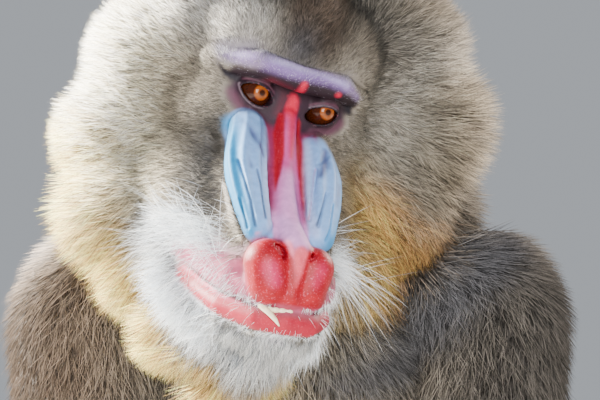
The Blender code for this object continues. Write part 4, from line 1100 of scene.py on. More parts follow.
FACE_MARKS = [
    Mark(((86, 106, 6), (80, 108, 0)), (27, 22), paint(120, 92, 92), 10, bare=0.9, flat=0.9),
    Mark(((0, -8, -8), (0, -40, -36), (0, -85, -64)), (20, 22, 20), paint(120, 34, 70), 3),
    # Painted shadow under the brow, on the dark skin of the eye sockets.
    Mark(((0, -10, 10), (20, -12, 11), (37, 0, 9)), (11, 10, 7), BROW_SHADOW_DARK, 5),
    Mark(((8, -104, -70), (0, -116, -84)), (9, 7), NOSE_RED, 3),
    Mark(((49, -34, -102), (41, -60, -98), (31, -84, -97), (16, -106, -104), (0, -113, -105)),
         (6, 11, 12, 6, 5), LIP_GREY, 6, gloss=0.2, bare=0.95),
    Mark(((37, -62, -84), (27, -88, -80)), (5, 5), CHIN_PALE, 8, 0.7, bare=0.7),
    Mark(((9, -5, -6), (29, 2, -4)), (13, 11), EYE_PLUM, 7),
    # Painted shadow of the brow over the eyes and their upper folds, on dark skin.
    Mark(((21, -8, -3),), (12,), BROW_SHADOW_DARK, 9, 0.75),
    Mark(((0, -12, 6), (14, -12, 7), (30, -8, 8), (38, 2, 4)), (5.5, 5, 4.5, 3), BROW_SHADOW_DARK, 5),
    # Painted shade, maroon, between the brow and the top of the bridge.
    lone(((-20, -14, 9), (-8, -14, 6)), (3, 4), MAROON_SHADE, 6, 0.7),
    lone(((-51, 1, 9), (-43, 3, 4), (-36, 0, 3)), (1.2, 2.4, 2), INK, 4),
    lone(((38, 0, 8), (42, 5, 2)), (2.4, 2.2), INK, 4),
    Mark(((38, -1, -6), (30, -6, -13), (18, -10, -15)), (3, 3.2, 2.6), LID_ROSE, 4, 0.55),
    Mark(((14, -12, 5.5), (24, -12, 7.0), (33, -7, 4.5)), (1.3, 1.5, 1.2), LID_ROSE, 2, 0.7),
    lone(((-50, 2, 18), (-34, -6, 26), (0, -12, 27), (34, -8, 24)), (4, 5, 5, 4), paint(120, 114, 118),
         8, 0.8, bare=0),
    lone(((-50, 1, 14), (-38, -8, 19), (-12, -17, 20.5), (15, -18, 22), (32, -15, 19.5), (41, -5, 14)),
         (1.0, 4.2, 4.8, 4.0, 3.0, 1), BROW_LILAC, 7, bare=0.40),
    # Pale hairs and a painted highlight along the top of the brow.
    lone(((-46, -4, 18), (-20, -14, 22.5), (8, -18, 23.5), (28, -16, 21)), (1.0, 1.6, 1.4, 1.0),
         BROW_PALE_HIGHLIGHT, 5, 0.7, bare=0),
    lone(((24, -17, 13.3),), (1.8,), STRIPE_RED, 3, 0.9),
    lone(ALMONDS[Side.RIGHT].rim(1.3, 0.60, 1.02, 16), (0.2,) * 17, LID_PALE, 1.6, 0.5),
    lone(ALMONDS[Side.LEFT].rim(1.4, 0.10, 0.52, 16), (0.2,) * 17, LID_PALE, 1.6, 0.45),
    *(lone(ALMONDS[side].rim(2.6, 0.08, 0.42, 12), (0.5,) * 13, LID_ROSE, 1.8, 0.6) for side in Side),
    *(lone(ALMONDS[side].rim(0.4, 0.0, 1.0, 24), (0.8,) * 25, INK, 1.4, gloss=0.6) for side in Side),
    lone(((0, -19, 14), (0, -13, 7), (1, -7, 0), (0, -12, -7)), (1.8, 2.6, 3.4, 4.2), STRIPE_RED, 3.5,
         gloss=0.3),
    # Painted shade, maroon, beside the top of the bridge.
    lone(((-6, -8, 2), (-7, -12, -9)), (1.5, 2.5), MAROON_SHADE, 5, 0.6),
    lone(((1, -11, -12), (1.5, -22, -20), (2, -35, -30), (1, -70, -52), (0, -88, -62)),
         (5.0, 7.5, 9, 9.5, 11), BRIDGE_PINK, 5, gloss=0.3),
    lone(((1, -48, -41), (0, -75, -57), (0, -92, -64)), (5, 8, 9), BRIDGE_PALE, 9, 0.7, bare=0),
    lone(((1, -8, -4), (1.5, -18, -15), (2.5, -34, -29)), (3.4, 3.0, 1.5), STRIPE_RED, 5, 0.8,
         gloss=0.3),
    lone(((-5, -12, -10), (-5.8, -20, -20), (-5.4, -33, -30), (-6.2, -45, -40), (-7.5, -56, -48)),
         (2.0, 3.4, 3.2, 2.2, 0.6), BAND_RED, 2.2, gloss=0.3),
    lone(((7, -10, -11), (8.8, -20, -22), (10.3, -33, -33), (11.6, -47, -43), (12.4, -66, -55)),
         (1.8, 3.2, 3.4, 2.6, 1.0), BAND_RED, 2.4, gloss=0.3),
    lone(((-10, -80, -64), (0, -97, -66), (12, -88, -66)), (7, 9, 7), BRIDGE_PALE, 8, 0.75),
    lone(*rounded(((-24, -10, -24), (-28, -40, -38), (-24.3, -66, -52), (-20.5, -92, -68)),
                  (12, 15, 11.5, 9)), RIDGE_LILAC, 2.6, gloss=0.25),
    lone(*rounded(((22, -12, -25), (25, -45, -38), (23.3, -68, -52), (20, -92, -68)),
                  (9, 11.8, 11, 9)), RIDGE_LILAC, 2.6, gloss=0.25),
    lone(*rounded(((-32, -10, -25), (-38, -34, -38), (-33, -64, -54), (-26, -86, -69)),
                  (6.5, 10, 7.5, 4.5)), TURQUOISE, 8, 0.95, bare=0),
    lone(*rounded(((18, -13, -22), (30, -16, -27), (35, -40, -38), (31, -66, -54), (25, -86, -69)),
                  (3, 4, 3, 3.5, 5.5)), TURQUOISE, 7, 0.8, bare=0),
    lone(((-20, -14, -20), (-28, -15, -21)), (3.5, 3.5), TURQUOISE, 6, 0.75, bare=0),
    Mark(((15, -15, -21), (13.5, -45, -37), (12.5, -72, -54), (14, -90, -64)), (1.8, 2.6, 2.8, 3),
         RIDGE_WHITE, 5, 0.8, bare=0),
    # Painted shade in the hollows of the swellings, purplish.
    lone(((-29.5, -18, -19.5), (-25.5, -28, -23), (-20, -37, -28), (-17, -40, -32)),
         (1.8, 2.6, 2.4, 1.0), RIDGE_HOLLOW_SHADE, 4, 0.8),
    lone(((-31, -40, -32), (-26, -54, -37)), (1.0, 1.2), RIDGE_HOLLOW_SHADE, 3.5, 0.6),
    lone(((25, -25, -22), (23.4, -41, -28), (20, -50, -34)), (2.2, 2.8, 1.6), RIDGE_HOLLOW_SHADE, 4.5, 0.8),
    lone(((34, -48, -38), (31, -64, -48)), (1.6, 1.6), RIDGE_HOLLOW_SHADE, 5, 0.45),
    # Painted shade: dark lines in the grooves pressed into the swellings.
    *(lone(path, (0.4,) + (0.7,) * (len(path) - 1), GROOVE_SHADE, 1.4, 0.95, flat=0.2)
      for path in GROOVES[:4]),
    lone(GROOVES[4], (0.6,) * 3, TURQUOISE, 2, 0.8, flat=0.2),
    lone(GROOVES[5], (0.4,) * 3, STRIPE_RED, 1.6, 0.6, flat=0.2),
    lone(((-16, -106, -83), (-14, -112, -95)), (15.5, 14.0), NOSE_RED, 4, gloss=1.0),
    lone(((13, -106, -83), (11.5, -112, -95)), (14.0, 13.0), NOSE_RED, 4, gloss=1.0),
    lone(((0, -112, -90), (0, -118, -103)), (7, 7), NOSE_RED, 4, gloss=0.8),
    # Painted sheen on the lobes, stronger on the side the sun lights.
    lone(((-18, -117, -84), (-14, -119, -90)), (5, 4), NOSE_PAINTED_SHEEN, 8, 0.75, gloss=1.0),
    lone(((15, -117, -80), (12, -119, -88)), (4, 3), NOSE_PAINTED_SHEEN, 8, 0.6, gloss=1.0),
    # Painted highlight along the top of the wall between the nostrils.
    lone(((1, -112, -73), (1.0, -117, -84), (0, -118, -92)), (4.5, 3.0, 1.0), paint(200, 78, 92), 3,
         0.9, gloss=0.6),
    lone(((-27, -95, -78), (-23, -93, -69), (-14, -98, -65.5), (-7.4, -106, -67.5), (-3.6, -114, -77),
          (-1.6, -118, -90)), (0.6, 1.3, 1.7, 1.6, 1.1, 0.6), RIM_PINK, 2.4, 0.95, gloss=0.6),
    lone(((12, -98, -66.5), (8, -106, -69)), (1.0, 1.0), RIM_PINK, 2.4, 0.7, gloss=0.6),
    # Painted shade in the nostrils cut into the nose.
    *(lone(path, tuple(radius + 0.5 for radius in radii), NOSTRIL_SHADE, 1.4, gloss=0.3, flat=0.8)
      for path, radii in NOSTRILS),
    # Painted shade, dark red, in the crease along the nose lobe.
    lone(((-8, -113, -77), (-5.2, -116, -83), (-2.5, -119, -91)), (0.6, 0.5, 0.3), paint(96, 0, 16),
         1.8, 0.8, flat=1.0),
    # Painted shade in the crease between lobe and septum.
    lone(((10, -110, -73), (6.5, -113, -77), (3.5, -117, -84), (1.4, -119, -92)), (0.8, 0.8, 0.6, 0.4),
         NOSTRIL_SHADE, 1.6, 0.9, flat=1.0),
    Mark(((46, -40, -108), (40, -58, -109.6), (32.5, -82, -110), (22, -104, -110), (0, -113, -109)),
         (4, 5, 5, 5, 5), LIP_GREY, 3, 0.5),
    Mark(((44.5, -43, -115), (41, -54, -116), (35.5, -75, -117.5), (28, -92, -117.8),
          (18, -104, -117.8), (0, -112, -117.5)), (4.6, 5.6, 6.2, 6.6, 6.8, 6.8), LIP_RED, 4.5,
         gloss=0.5),
    Mark(((44, -42, -111.2), (39, -58, -111.6), (34, -78, -112), (26, -96, -111.8)),
         (0.8, 1.0, 1.0, 0.6), RIM_PINK, 2.4, 0.6, bare=0, flat=0.15),
    # Painted shadow: dark line in the parting of the lips.
    Mark(((42, -46, -108.6), (38, -62, -110), (32.5, -85, -109.9), (24, -101, -109.7),
          (16, -109, -109.2)), (0.4, 0.8, 0.9, 0.9, 0.6), INK, 1.7, 0.9, bare=0, flat=0.12),
    Mark(((42, -46, -129), (35, -62, -134)), (4, 4), GREY_PATCH, 8, 0.8, bare=0.5),
    Mark(((28, -76, -131), (0, -104, -133)), (3, 3), CHIN_PALE, 6, 0.7, bare=0.0),
]


@dataclass
class Markings:
    """The colours of skin and coat, the same for both, from the strokes above."""

    head_middle: Point = (0.0, 0.03, -0.05)
    head_reach: float = 0.16
    under_coat: float = 0.55

    def shown(self, marks: list[Mark], points: Array, base: Array) -> Array:
        """Lay strokes over a base colour.

        Args:
            marks: the strokes, lowest first.
            points: the places, in the strokes' frame.
            base: the colours under them.

        Returns:
            The colours.
        """
        result = base.copy()
        for mark in marks:
            share = (mark.mask(points) * mark.strength)[:, None]
            result = result * (1 - share) + np.array(mark.tone) * share
        return result

    def read(self, points: Array) -> dict[str, Array]:
        """Everything that the markings say at world points.

        Args:
            points: an N by 3 array of world places on the skin.

        Returns:
            The coat's colour, the skin's, how bare it is and its gloss.
        """
        local = PLACE.untwisted(points)
        world = moved(points, PLACE.body.inverted())
        away = np.linalg.norm(local - list(self.head_middle), axis=1)
        head = smooth_step(1.6 - away / self.head_reach)
        base = (np.array(FUR_GREY) * head[:, None]
                + np.array(SHOULDER_BROWN) * (1 - head[:, None]))
        coat = self.shown(BODY_MARKS, world, base)
        near = head[:, None] > 0.001
        coat = np.where(near, self.shown(COAT_MARKS, local, coat), coat)
        under = coat * self.under_coat
        skin = np.where(near, self.shown(FACE_MARKS, local, under), under)
        skin = np.where(near, skin, self.shown(BODY_MARKS[COAT_ONLY:], world, skin))
        bare = np.zeros(len(points))
        gloss = np.zeros(len(points))
        for mark in FACE_MARKS:
            mask = mark.mask(local) * head
            bare = np.maximum(bare, mask * mark.bare)
            gloss = gloss * (1 - mask) + mark.gloss * mask
        for mark in BODY_MARKS:
            bare = np.maximum(bare, mark.mask(world) * mark.bare)
        return {"coat": coat, "skin": skin, "bare": bare, "gloss": gloss}


# ------------------------------------------------------------------ shader nodes
class Value:
    """A socket of a node tree that can be used in an expression."""

    def __init__(self, tree: bpy.types.NodeTree, socket: bpy.types.NodeSocket) -> None:
        """Wrap a socket of a tree."""
        self.tree = tree
        self.socket = socket

    def math(self, operation: str, *others: "Value | float") -> "Value":
        """A Math node of this value and others."""
        inputs = {0: self}
        inputs.update({index + 1: other for index, other in enumerate(others)})
        return add_node(self.tree, "Math", {"operation": operation}, inputs)

    def __add__(self, other: "Value | float") -> "Value":
        """The sum."""
        return self.math("ADD", other)

    __radd__ = __add__

    def __mul__(self, other: "Value | float") -> "Value":
        """The product."""
        return self.math("MULTIPLY", other)

    __rmul__ = __mul__

    def __sub__(self, other: "Value | float") -> "Value":
        """The difference."""
        return self.math("SUBTRACT", other)

    def __rsub__(self, other: float) -> "Value":
        """A number less this value."""
        return (self * -1.0) + other


def add_node(tree: bpy.types.NodeTree, kind: str, settings: dict, inputs: dict,
             output: int | str = 0) -> Value:
    """Add a node to a tree.

    Args:
        tree: the node tree.
        kind: the node's type, less its prefix.
        settings: its own settings, set first.
        inputs: its sockets, by number or name, with a value or a link for each.
        output: the socket that is handed back.

    Returns:
        The output socket, wrapped.
    """
    node = tree.nodes.new("ShaderNode" + kind)
    for name, setting in settings.items():
        if name == "stops":
            ramp = node.color_ramp
            while len(ramp.elements) < len(setting):
                ramp.elements.new(0.5)
            for element, (place, colour) in zip(ramp.elements, setting):
                element.position = place
                element.color = (*colour, 1.0)
        else:
            setattr(node, name, setting)
    for name, value in inputs.items():
        if isinstance(value, Value):
            tree.links.new(value.socket, node.inputs[name])
        else:
            node.inputs[name].default_value = value
    return Value(tree, node.outputs[output])


def mixed(tree: bpy.types.NodeTree, share: "Value | float", low: "Value | tuple",
          high: "Value | tuple", blend: str = "MIX") -> Value:
    """Two colours mixed by a share."""
    low, high = ((*item, 1.0) if isinstance(item, tuple) and len(item) == 3 else item
                 for item in (low, high))
    return add_node(tree, "Mix", {"data_type": "RGBA", "blend_type": blend},
                    {0: share, 6: low, 7: high}, 2)


def noise(tree: bpy.types.NodeTree, scale: float, detail: float = 3.0,
          rough: float = 0.55) -> Value:
    """A noise in object coordinates, from 0 to 1."""
    place = add_node(tree, "TexCoord", {}, {}, "Object")
    return add_node(tree, "TexNoise", {},
                    {"Vector": place, "Scale": scale, "Detail": detail, "Roughness": rough})


@dataclass(frozen=True)
class Finish:
    """A surface with its own colour, gloss and grain; the kinds below build on it."""

    name: str

    def material(self) -> bpy.types.Material:
        """A new material dressed by this finish."""
        result = bpy.data.materials.new(self.name)
        result.use_nodes = True
        tree = result.node_tree
        shader = tree.nodes["Principled BSDF"]
        for socket, value in self.dress(tree).items():
            if isinstance(value, Value):
                tree.links.new(value.socket, shader.inputs[socket])
            else:
                shader.inputs[socket].default_value = value
        return result

    def dress(self, tree: bpy.types.NodeTree) -> dict:
        """The shader's sockets with what feeds them."""
        return {}

    def put_on(self, target: Thing, slot: str) -> None:
        """Give an object this finish."""
        target.data.materials.clear()
        target.data.materials.append(self.material())


@dataclass(frozen=True)
class SkinFinish(Finish):
    """Bare skin and the skin under the coat, coloured by the markings."""

    pore_scale: float = 900.0
    fold_scale: float = 160.0
    bump: float = 0.35

    def dress(self, tree: bpy.types.NodeTree) -> dict:
        """Marked colour with mottling and painted glints where glossy, gloss from its attribute, fine
        bumps.
        """
        tint = add_node(tree, "Attribute", {"attribute_name": "Tint"}, {}, "Color")
        gloss = add_node(tree, "Attribute", {"attribute_name": "Gloss"}, {}, "Fac")
        mottle = noise(tree, 220.0, 4.0)
        fine = noise(tree, self.pore_scale, 2.0)
        fold = noise(tree, self.fold_scale, 4.0)
        light = mixed(tree, (mottle - 0.5) * 1.2 + 0.5, (0.72, 0.70, 0.74), (1.20, 1.16, 1.16))
        colour = mixed(tree, 1.0, tint, light, "MULTIPLY")
        # painted_glint: pale pink glints painted on the pores of glossy skin, most of all on the nose.
        painted_glint = (fine - 0.56).math("MULTIPLY", 6.0).math("MAXIMUM", 0.0)
        colour = mixed(tree, painted_glint * gloss * 0.35, colour, paint(236, 120, 150))
        height = fine * 0.35 + fold * 0.65
        normal = add_node(tree, "Bump", {},
                          {"Strength": self.bump, "Distance": 0.0008, "Height": height})
        rough = 0.62 - gloss * 0.16 + (mottle - 0.5) * 0.15
        return {"Base Color": colour, "Roughness": rough, "Normal": normal,
                "Specular IOR Level": 0.22}


@dataclass(frozen=True)
class CoatFinish(Finish):
    """Hair, coloured root to tip by the markings."""

    roughness: float = 0.62

    def dress(self, tree: bpy.types.NodeTree) -> dict:
        """Colour from the tufts' own attribute with a little variation."""
        tint = add_node(tree, "Attribute", {"attribute_name": "Tint"}, {}, "Color")
        shade = mixed(tree, noise(tree, 350.0, 2.0), (0.85, 0.84, 0.84), (1.15, 1.14, 1.12))
        return {"Base Color": mixed(tree, 1.0, tint, shade, "MULTIPLY"),
                "Roughness": self.roughness, "Specular IOR Level": 0.30}


@dataclass(frozen=True)
class EyeFinish(Finish):
    """Eyeball: pupil, ringed iris, dark white of the eye and a wet front."""

    centre: Point = (0.0, 0.0, 0.0)
    gaze: Point = (0.0, -1.0, 0.0)
    iris_radius: float = 0.00525
    pupil_radius: float = 0.00165
    span: float = 1.6

    def dress(self, tree: bpy.types.NodeTree) -> dict:
        """Rings of colour round the line of sight."""
        turn = Vector(self.gaze).rotation_difference(UP)
        angles = turn.to_euler()
        place = add_node(tree, "TexCoord", {}, {}, "Object")
        moved_to = add_node(tree, "VectorMath", {"operation": "SUBTRACT"},
                            {0: place, 1: self.centre})
        local = add_node(tree, "Mapping", {"vector_type": "POINT"},
                         {"Vector": moved_to, "Rotation": tuple(angles)})
        flat = add_node(tree, "VectorMath", {"operation": "MULTIPLY"},
                        {0: local, 1: (1.0, 1.0, 0.0)})
        reach = add_node(tree, "VectorMath", {"operation": "LENGTH"}, {0: flat},
                         "Value")
        share = reach * (1.0 / (self.iris_radius * self.span))
        pupil = self.pupil_radius / (self.iris_radius * self.span)
        edge = 1.0 / self.span
        ring = add_node(tree, "ValToRGB",
                        {"stops": [(0.0, (0.0, 0.0, 0.0)), (pupil, (0.004, 0.002, 0.001)),
                                   (pupil + 0.03, paint(84, 42, 18)),
                                   (0.36, paint(124, 64, 20)), (0.50, paint(130, 66, 16)),
                                   (edge - 0.05, paint(98, 46, 14)),
                                   (edge, paint(26, 10, 6)), (edge + 0.05, paint(26, 7, 3)),
                                   (1.0, paint(12, 4, 2))]},
                        {"Fac": share})
        spin = add_node(tree, "TexNoise", {},
                        {"Vector": local, "Scale": 1500.0, "Detail": 3.0})
        colour = mixed(tree, (spin - 0.5) * 0.9 + 0.3, ring, paint(120, 50, 12))
        colour = mixed(tree, 0.35, ring, colour)
        return {"Base Color": colour, "Roughness": 0.05, "Specular IOR Level": 0.24}


@dataclass(frozen=True)
class HardFinish(Finish):
    """Teeth and nails: one colour stained in patches, with faint streaks."""

    tone: Colour = (0.7, 0.62, 0.5)
    stain: Colour = (0.4, 0.3, 0.2)
    roughness: float = 0.25

    def dress(self, tree: bpy.types.NodeTree) -> dict:
        """A stained colour and a fine bump."""
        patch = noise(tree, 420.0, 4.0)
        normal = add_node(tree, "Bump", {},
                          {"Strength": 0.15, "Distance": 0.0003,
                           "Height": noise(tree, 1400.0, 2.0)})
        return {"Base Color": mixed(tree, (patch - 0.45) * 1.6, self.tone, self.stain),
                "Roughness": self.roughness, "Normal": normal, "Coat Weight": 0.2}


# ------------------------------------------------------------------ skin
@dataclass
class Skin:
    """The one skin of the whole animal."""

    flesh: tuple[str, ...] = ("head", "jaw", "neck", "chest", "belly", "pelvis", "tail")
    paired: tuple[str, ...] = ("ruff_", "ear_", "upper_arm_", "forearm_", "hand_", "thigh_",
                               "shank_", "foot_")

    def build(self) -> Thing:
        """Fuse head, ears, trunk, limbs, hands and feet, and dress them.

        Returns:
            The skin object.
        """
        head = Head().build()
        LOG.info("head: %d faces", len(head.data.polygons))
        trunk = Trunk().build()
        LOG.info("trunk: %d faces", len(trunk.data.polygons))
        combine(trunk, [head] + Ears().build() + Extremities().build(), "UNION")
        self.stand(trunk)
        trunk.name = "skin"
        trunk.data.name = "skin"
        trunk.data.shade_smooth()
        self.mark(trunk)
        SkinFinish("skin").put_on(trunk, "face")
        names = list(self.flesh) + [start + side.word for start in self.paired for side in Side]
        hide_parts(*names)
        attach(trunk, "root")
        return trunk

    def stand(self, target: Thing) -> None:
        """Flatten what would reach below the ground."""
        points = coordinates(target)
        points[:, 2] = np.maximum(points[:, 2], SKIN_GROUND)
        set_coordinates(target, points)

    def mark(self, target: Thing) -> None:
        """Write the markings to the skin's attributes."""
        found = MARKINGS.read(coordinates(target))
        tint = target.data.attributes.new("Tint", "FLOAT_COLOR", "POINT")
        tint.data.foreach_set("color", with_alpha(found["skin"]))
        gloss = target.data.attributes.new("Gloss", "FLOAT", "POINT")
        gloss.data.foreach_set("value", found["gloss"].astype(np.float32))


def with_alpha(colours: Array) -> Array:
    """Colours with an alpha of 1, in one row."""
    table = np.ones((len(colours), 4), np.float32)
    table[:, :3] = colours
    return table.ravel()


MARKINGS = Markings()


# ------------------------------------------------------------------ the coat's lie
class Zone(Enum):
    """The patches that the coat is made in, each a piece of its own."""

    CROWN = "crown"
    CHEEK_LEFT = "cheek_left"
    CHEEK_RIGHT = "cheek_right"
    RUFF_LEFT = "ruff_left"
    RUFF_RIGHT = "ruff_right"
    BEARD = "beard"
    NAPE = "nape"
    BREAST = "breast"
    BACK = "back"
    RUMP = "rump"
    ARM_LEFT = "arm_left"
    ARM_RIGHT = "arm_right"
    LEG_LEFT = "leg_left"
    LEG_RIGHT = "leg_right"


@dataclass(frozen=True)
class Guide:
    """How the coat grows round one place.

    Attributes:
        place: the place in its frame, in millimetres.
        way: the direction in which the hair lies.
        length: of the tufts, in millimetres.
        lift: their angle off the skin, in degrees.
        crowd: tufts on a square centimetre.
        width: of a tuft at its root, in millimetres.
        zone: the piece that it belongs to.
        space: the frame of the place and the way.
    """

    place: Point
    way: Point
    length: float
    lift: float
    crowd: float
    width: float
    zone: Zone
    space: Space = Space.HEAD


def zone_on(side: Side, kind: str) -> Zone:
    """The zone of this kind on one side."""
    return Zone["%s_%s" % (kind, side.name)]


# Place, way, length, lift, crowd and width of the guides of the left side.
CHEEK_ROWS = [((20, -16, 21), (0.2, 0.2, 1), 3.2, 36, 240, 0.40),
              ((38, -10, 19), (0.4, 0.2, 1), 3.2, 36, 240, 0.40),
              ((26, 0, 29), (0.35, 0.5, 1), 6, 36, 230, 0.58),
              ((52, 14, 22), (0.8, 0.4, 0.7), 7, 36, 220, 0.60),
              ((40, 30, 60), (0.5, 0.9, 0.6), 13, 38, 150, 0.80),
              ((64, 34, 22), (0.9, 0.6, 0.35), 10, 38, 190, 0.72),
              ((48, 4, -12), (1, 0.35, -0.1), 5.5, 34, 240, 0.58),
              ((66, 30, -20), (1, 0.4, -0.15), 10, 38, 190, 0.72),
              ((44, -2, -46), (1, 0.3, -0.35), 6, 34, 230, 0.58),
              ((62, 26, -60), (1, 0.3, -0.4), 12, 38, 180, 0.75),
              ((52, 2, -84), (0.9, 0.2, -0.6), 12, 38, 150, 0.70),
              ((36, -40, -84), (1, 0.15, -0.3), 6, 34, 160, 0.58),
              ((46, -30, -122), (0.7, 0.1, -0.8), 12, 36, 150, 0.70)]
RUFF_ROWS = [((78, 56, 46), (0.8, 0.7, 0.4), 15, 44, 140, 0.85),
             ((92, 62, 34), (0.9, 0.5, 0.3), 20, 44, 125, 0.90),
             ((104, 64, -10), (1, 0.45, -0.1), 25, 44, 120, 0.95),
             ((104, 60, -60), (1, 0.35, -0.45), 31, 46, 118, 1.0),
             ((86, 46, -110), (0.7, 0.25, -0.8), 36, 44, 112, 1.05),
             ((50, 10, -140), (0.45, 0.1, -1), 32, 38, 112, 1.0),
             ((90, 100, 0), (0.9, 0.9, -0.2), 30, 34, 50, 1.4)]
FLARED_ROWS = [((130, 58, 10), (1, 0.4, 0.1), 36, 52, 112, 1.0),
               ((148, 62, -24), (1, 0.4, -0.1), 42, 52, 106, 1.05),
               ((140, 58, -70), (1, 0.3, -0.4), 40, 50, 106, 1.1),
               ((112, 48, -118), (0.7, 0.2, -0.8), 36, 46, 100, 1.1),
               ((104, 62, 44), (0.8, 0.6, 0.5), 32, 50, 116, 0.95)]
BEARD_ROWS = [((24, -74, -138), (0.4, 0, -1), 14, 38, 170, 0.68),
              ((30, -40, -160), (0.4, 0, -1), 32, 32, 100, 0.95)]
NAPE_ROWS = [((70, 140, -20), (0.6, 0.6, -0.8), 34, 28, 28, 1.8),
             ((84, 112, 6), (0.6, 0.6, 0.5), 7, 24, 60, 0.9)]


def head_guides() -> list[Guide]:
    """The guides of the head, radial from the face out to the ruff's rim."""
    rows = [Guide((0, -17, 21), (0, 0.2, 1), 3.2, 36, 240, 0.40, Zone.CROWN),
            Guide((0, -2, 27), (0, 0.5, 1), 6, 36, 230, 0.58, Zone.CROWN),
            Guide((0, 8, 45), (0, 0.8, 1), 9, 38, 190, 0.72, Zone.CROWN),
            Guide((0, 40, 78), (0, 1, 0.4), 16, 36, 120, 0.95, Zone.CROWN),
            Guide((0, 90, 82), (0, 1, -0.2), 30, 32, 40, 1.5, Zone.NAPE),
            Guide((0, 130, 40), (0, 0.6, -0.9), 36, 28, 26, 1.8, Zone.NAPE),
            Guide((0, -102, -128), (0, -0.1, -1), 6, 40, 190, 0.55, Zone.BEARD),
            Guide((0, -98, -138), (0, 0.0, -1), 15, 40, 170, 0.65, Zone.BEARD),
            Guide((0, -85, -154), (0, 0.1, -1), 28, 35, 120, 0.85, Zone.BEARD),
            Guide((0, -50, -178), (0, 0.1, -1), 40, 25, 95, 1.05, Zone.BEARD)]
    for side in Side:
        flared = FLARED_ROWS if side is Side.LEFT else []
        for zone, table in ((zone_on(side, "CHEEK"), CHEEK_ROWS),
                            (zone_on(side, "RUFF"), RUFF_ROWS + flared),
                            (Zone.BEARD, BEARD_ROWS), (Zone.NAPE, NAPE_ROWS)):
            rows += [Guide(side.of(place), side.of(way), *numbers, zone)
                     for place, way, *numbers in table]
    return rows


def limb_guides(limb: Limb, zone: Zone, coats: list[tuple[float, float, float]],
                around: float) -> list[Guide]:
    """Guides along a limb, with the hair lying down it.

    Args:
        limb: the limb's joints and radii.
        zone: the piece.
        coats: length, crowd and width of the tufts at each joint.
        around: how far the guides stand from the bone, as a share of the flesh's radius.

    Returns:
        The guides.
    """
    rows = []
    count = len(limb.points)
    for index, (point, radius) in enumerate(zip(limb.points, limb.radii)):
        start = limb.points[max(0, index - 1)]
        end = limb.points[min(count - 1, index + 1)]
        way = (Vector(end) - Vector(start)).normalized()
        length, crowd, width = coats[index]
        for angle in (0, 90, 180, 270):
            across = Vector((math.cos(math.radians(angle)), math.sin(math.radians(angle)), 0))
            place = (Vector(point) + across * radius * around) * 1000
            rows.append(Guide(tuple(place), tuple(way), length, 26, crowd, width, zone,
                              Space.BODY))
    return rows


def trunk_guides() -> list[Guide]:
    """Guides round the trunk, in rings from the neck to the rump."""
    rows = []
    rings = [(545, 10, 95, 36, 26, 1.6), (500, 20, 110, 36, 24, 1.7), (440, 50, 110, 36, 15, 2.0),
             (370, 70, 115, 34, 12, 2.2), (290, 105, 115, 32, 12, 2.3),
             (210, 120, 115, 28, 12, 2.3), (130, 150, 110, 22, 12, 2.1)]
    for height, back, radius, length, crowd, width in rings:
        for angle in range(0, 360, 45):
            across, along = math.sin(math.radians(angle)), math.cos(math.radians(angle))
            place = (radius * across, back + radius * along, height)
            way = (0.2 * across, 0.3 * max(0.0, along), -1.0)
            front = along < -0.3
            zone = (Zone.BREAST if front else Zone.NAPE if height > 470
                    else Zone.BACK if height > 250 else Zone.RUMP)
            rows.append(Guide(place, way, length * (0.8 if front else 1.0), 26,
                              crowd, width, zone, Space.BODY))
    rows.append(Guide((0, 300, 200), (0, 0.6, 0.8), 24, 24, 8, 2.0, Zone.RUMP, Space.BODY))
    return rows


def all_guides() -> list[Guide]:
    """Every guide of the coat."""
    rows = head_guides() + trunk_guides()
    for side in Side:
        arm, leg = zone_on(side, "ARM"), zone_on(side, "LEG")
        rows += limb_guides(Limb.arm(side), arm,
                            [(28, 28, 1.4), (30, 22, 1.6), (28, 15, 1.9), (24, 15, 1.9),
                             (14, 20, 1.4)], 1.1)
        rows += limb_guides(Limb.leg(side), leg,
                            [(24, 12, 2.2), (28, 12, 2.2), (26, 12, 2.1), (22, 14, 1.9),
                             (12, 20, 1.4)], 1.1)
        for place, zone in (((70, -235, 38), arm), ((190, -60, 46), leg)):
            rows.append(Guide(side.of(place), (0, -1, -0.2), 8, 16, 16, 1.2, zone, Space.BODY))
    return rows


class Lie:
    """The fields of the coat over the skin, blended from the guides."""

    BATCH = 20000
    NEAR = 0.008

    def __init__(self, guides: list[Guide]) -> None:
        """Turn the guides into world places and directions."""
        self.guides = guides
        self.places = np.array([PLACE.matrix(item.space) @ (Vector(item.place) * MM)
                                for item in guides])
        self.ways = unit(np.array([PLACE.matrix(item.space).to_3x3() @ Vector(item.way)
                                   for item in guides]))
        self.numbers = np.array([[item.length * MM, math.radians(item.lift), item.crowd * 1e4,
                                  item.width * MM] for item in guides])

    def read(self, points: Array) -> tuple[Array, Array, Array]:
        """Blend the guides at places on the skin.

        Args:
            points: an N by 3 array of world places.

        Returns:
            The way of the hair, its length, lift, crowd and width, and the nearest guide.
        """
        ways = np.empty((len(points), 3))
        numbers = np.empty((len(points), 4))
        nearest = np.empty(len(points), int)
        for start in range(0, len(points), self.BATCH):
            part = slice(start, start + self.BATCH)
            gap = ((points[part, None, :] - self.places[None]) ** 2).sum(axis=2)
            weight = 1.0 / (gap + self.NEAR ** 2) ** 2
            nearest[part] = weight.argmax(axis=1)
            weight /= weight.sum(axis=1, keepdims=True)
            ways[part] = weight @ self.ways
            numbers[part] = weight @ self.numbers
        return unit(ways), numbers, nearest


@dataclass
class Roots:
    """Where the tufts of one piece grow and how, one row for each tuft."""

    place: Array
    normal: Array
    way: Array
    length: Array
    width: Array
    lift: Array
    tone: Array

    def part(self, chosen: Array) -> "Roots":
        """Only the chosen rows."""
        return Roots(*(getattr(self, name)[chosen] for name in
                       ("place", "normal", "way", "length", "width", "lift", "tone")))


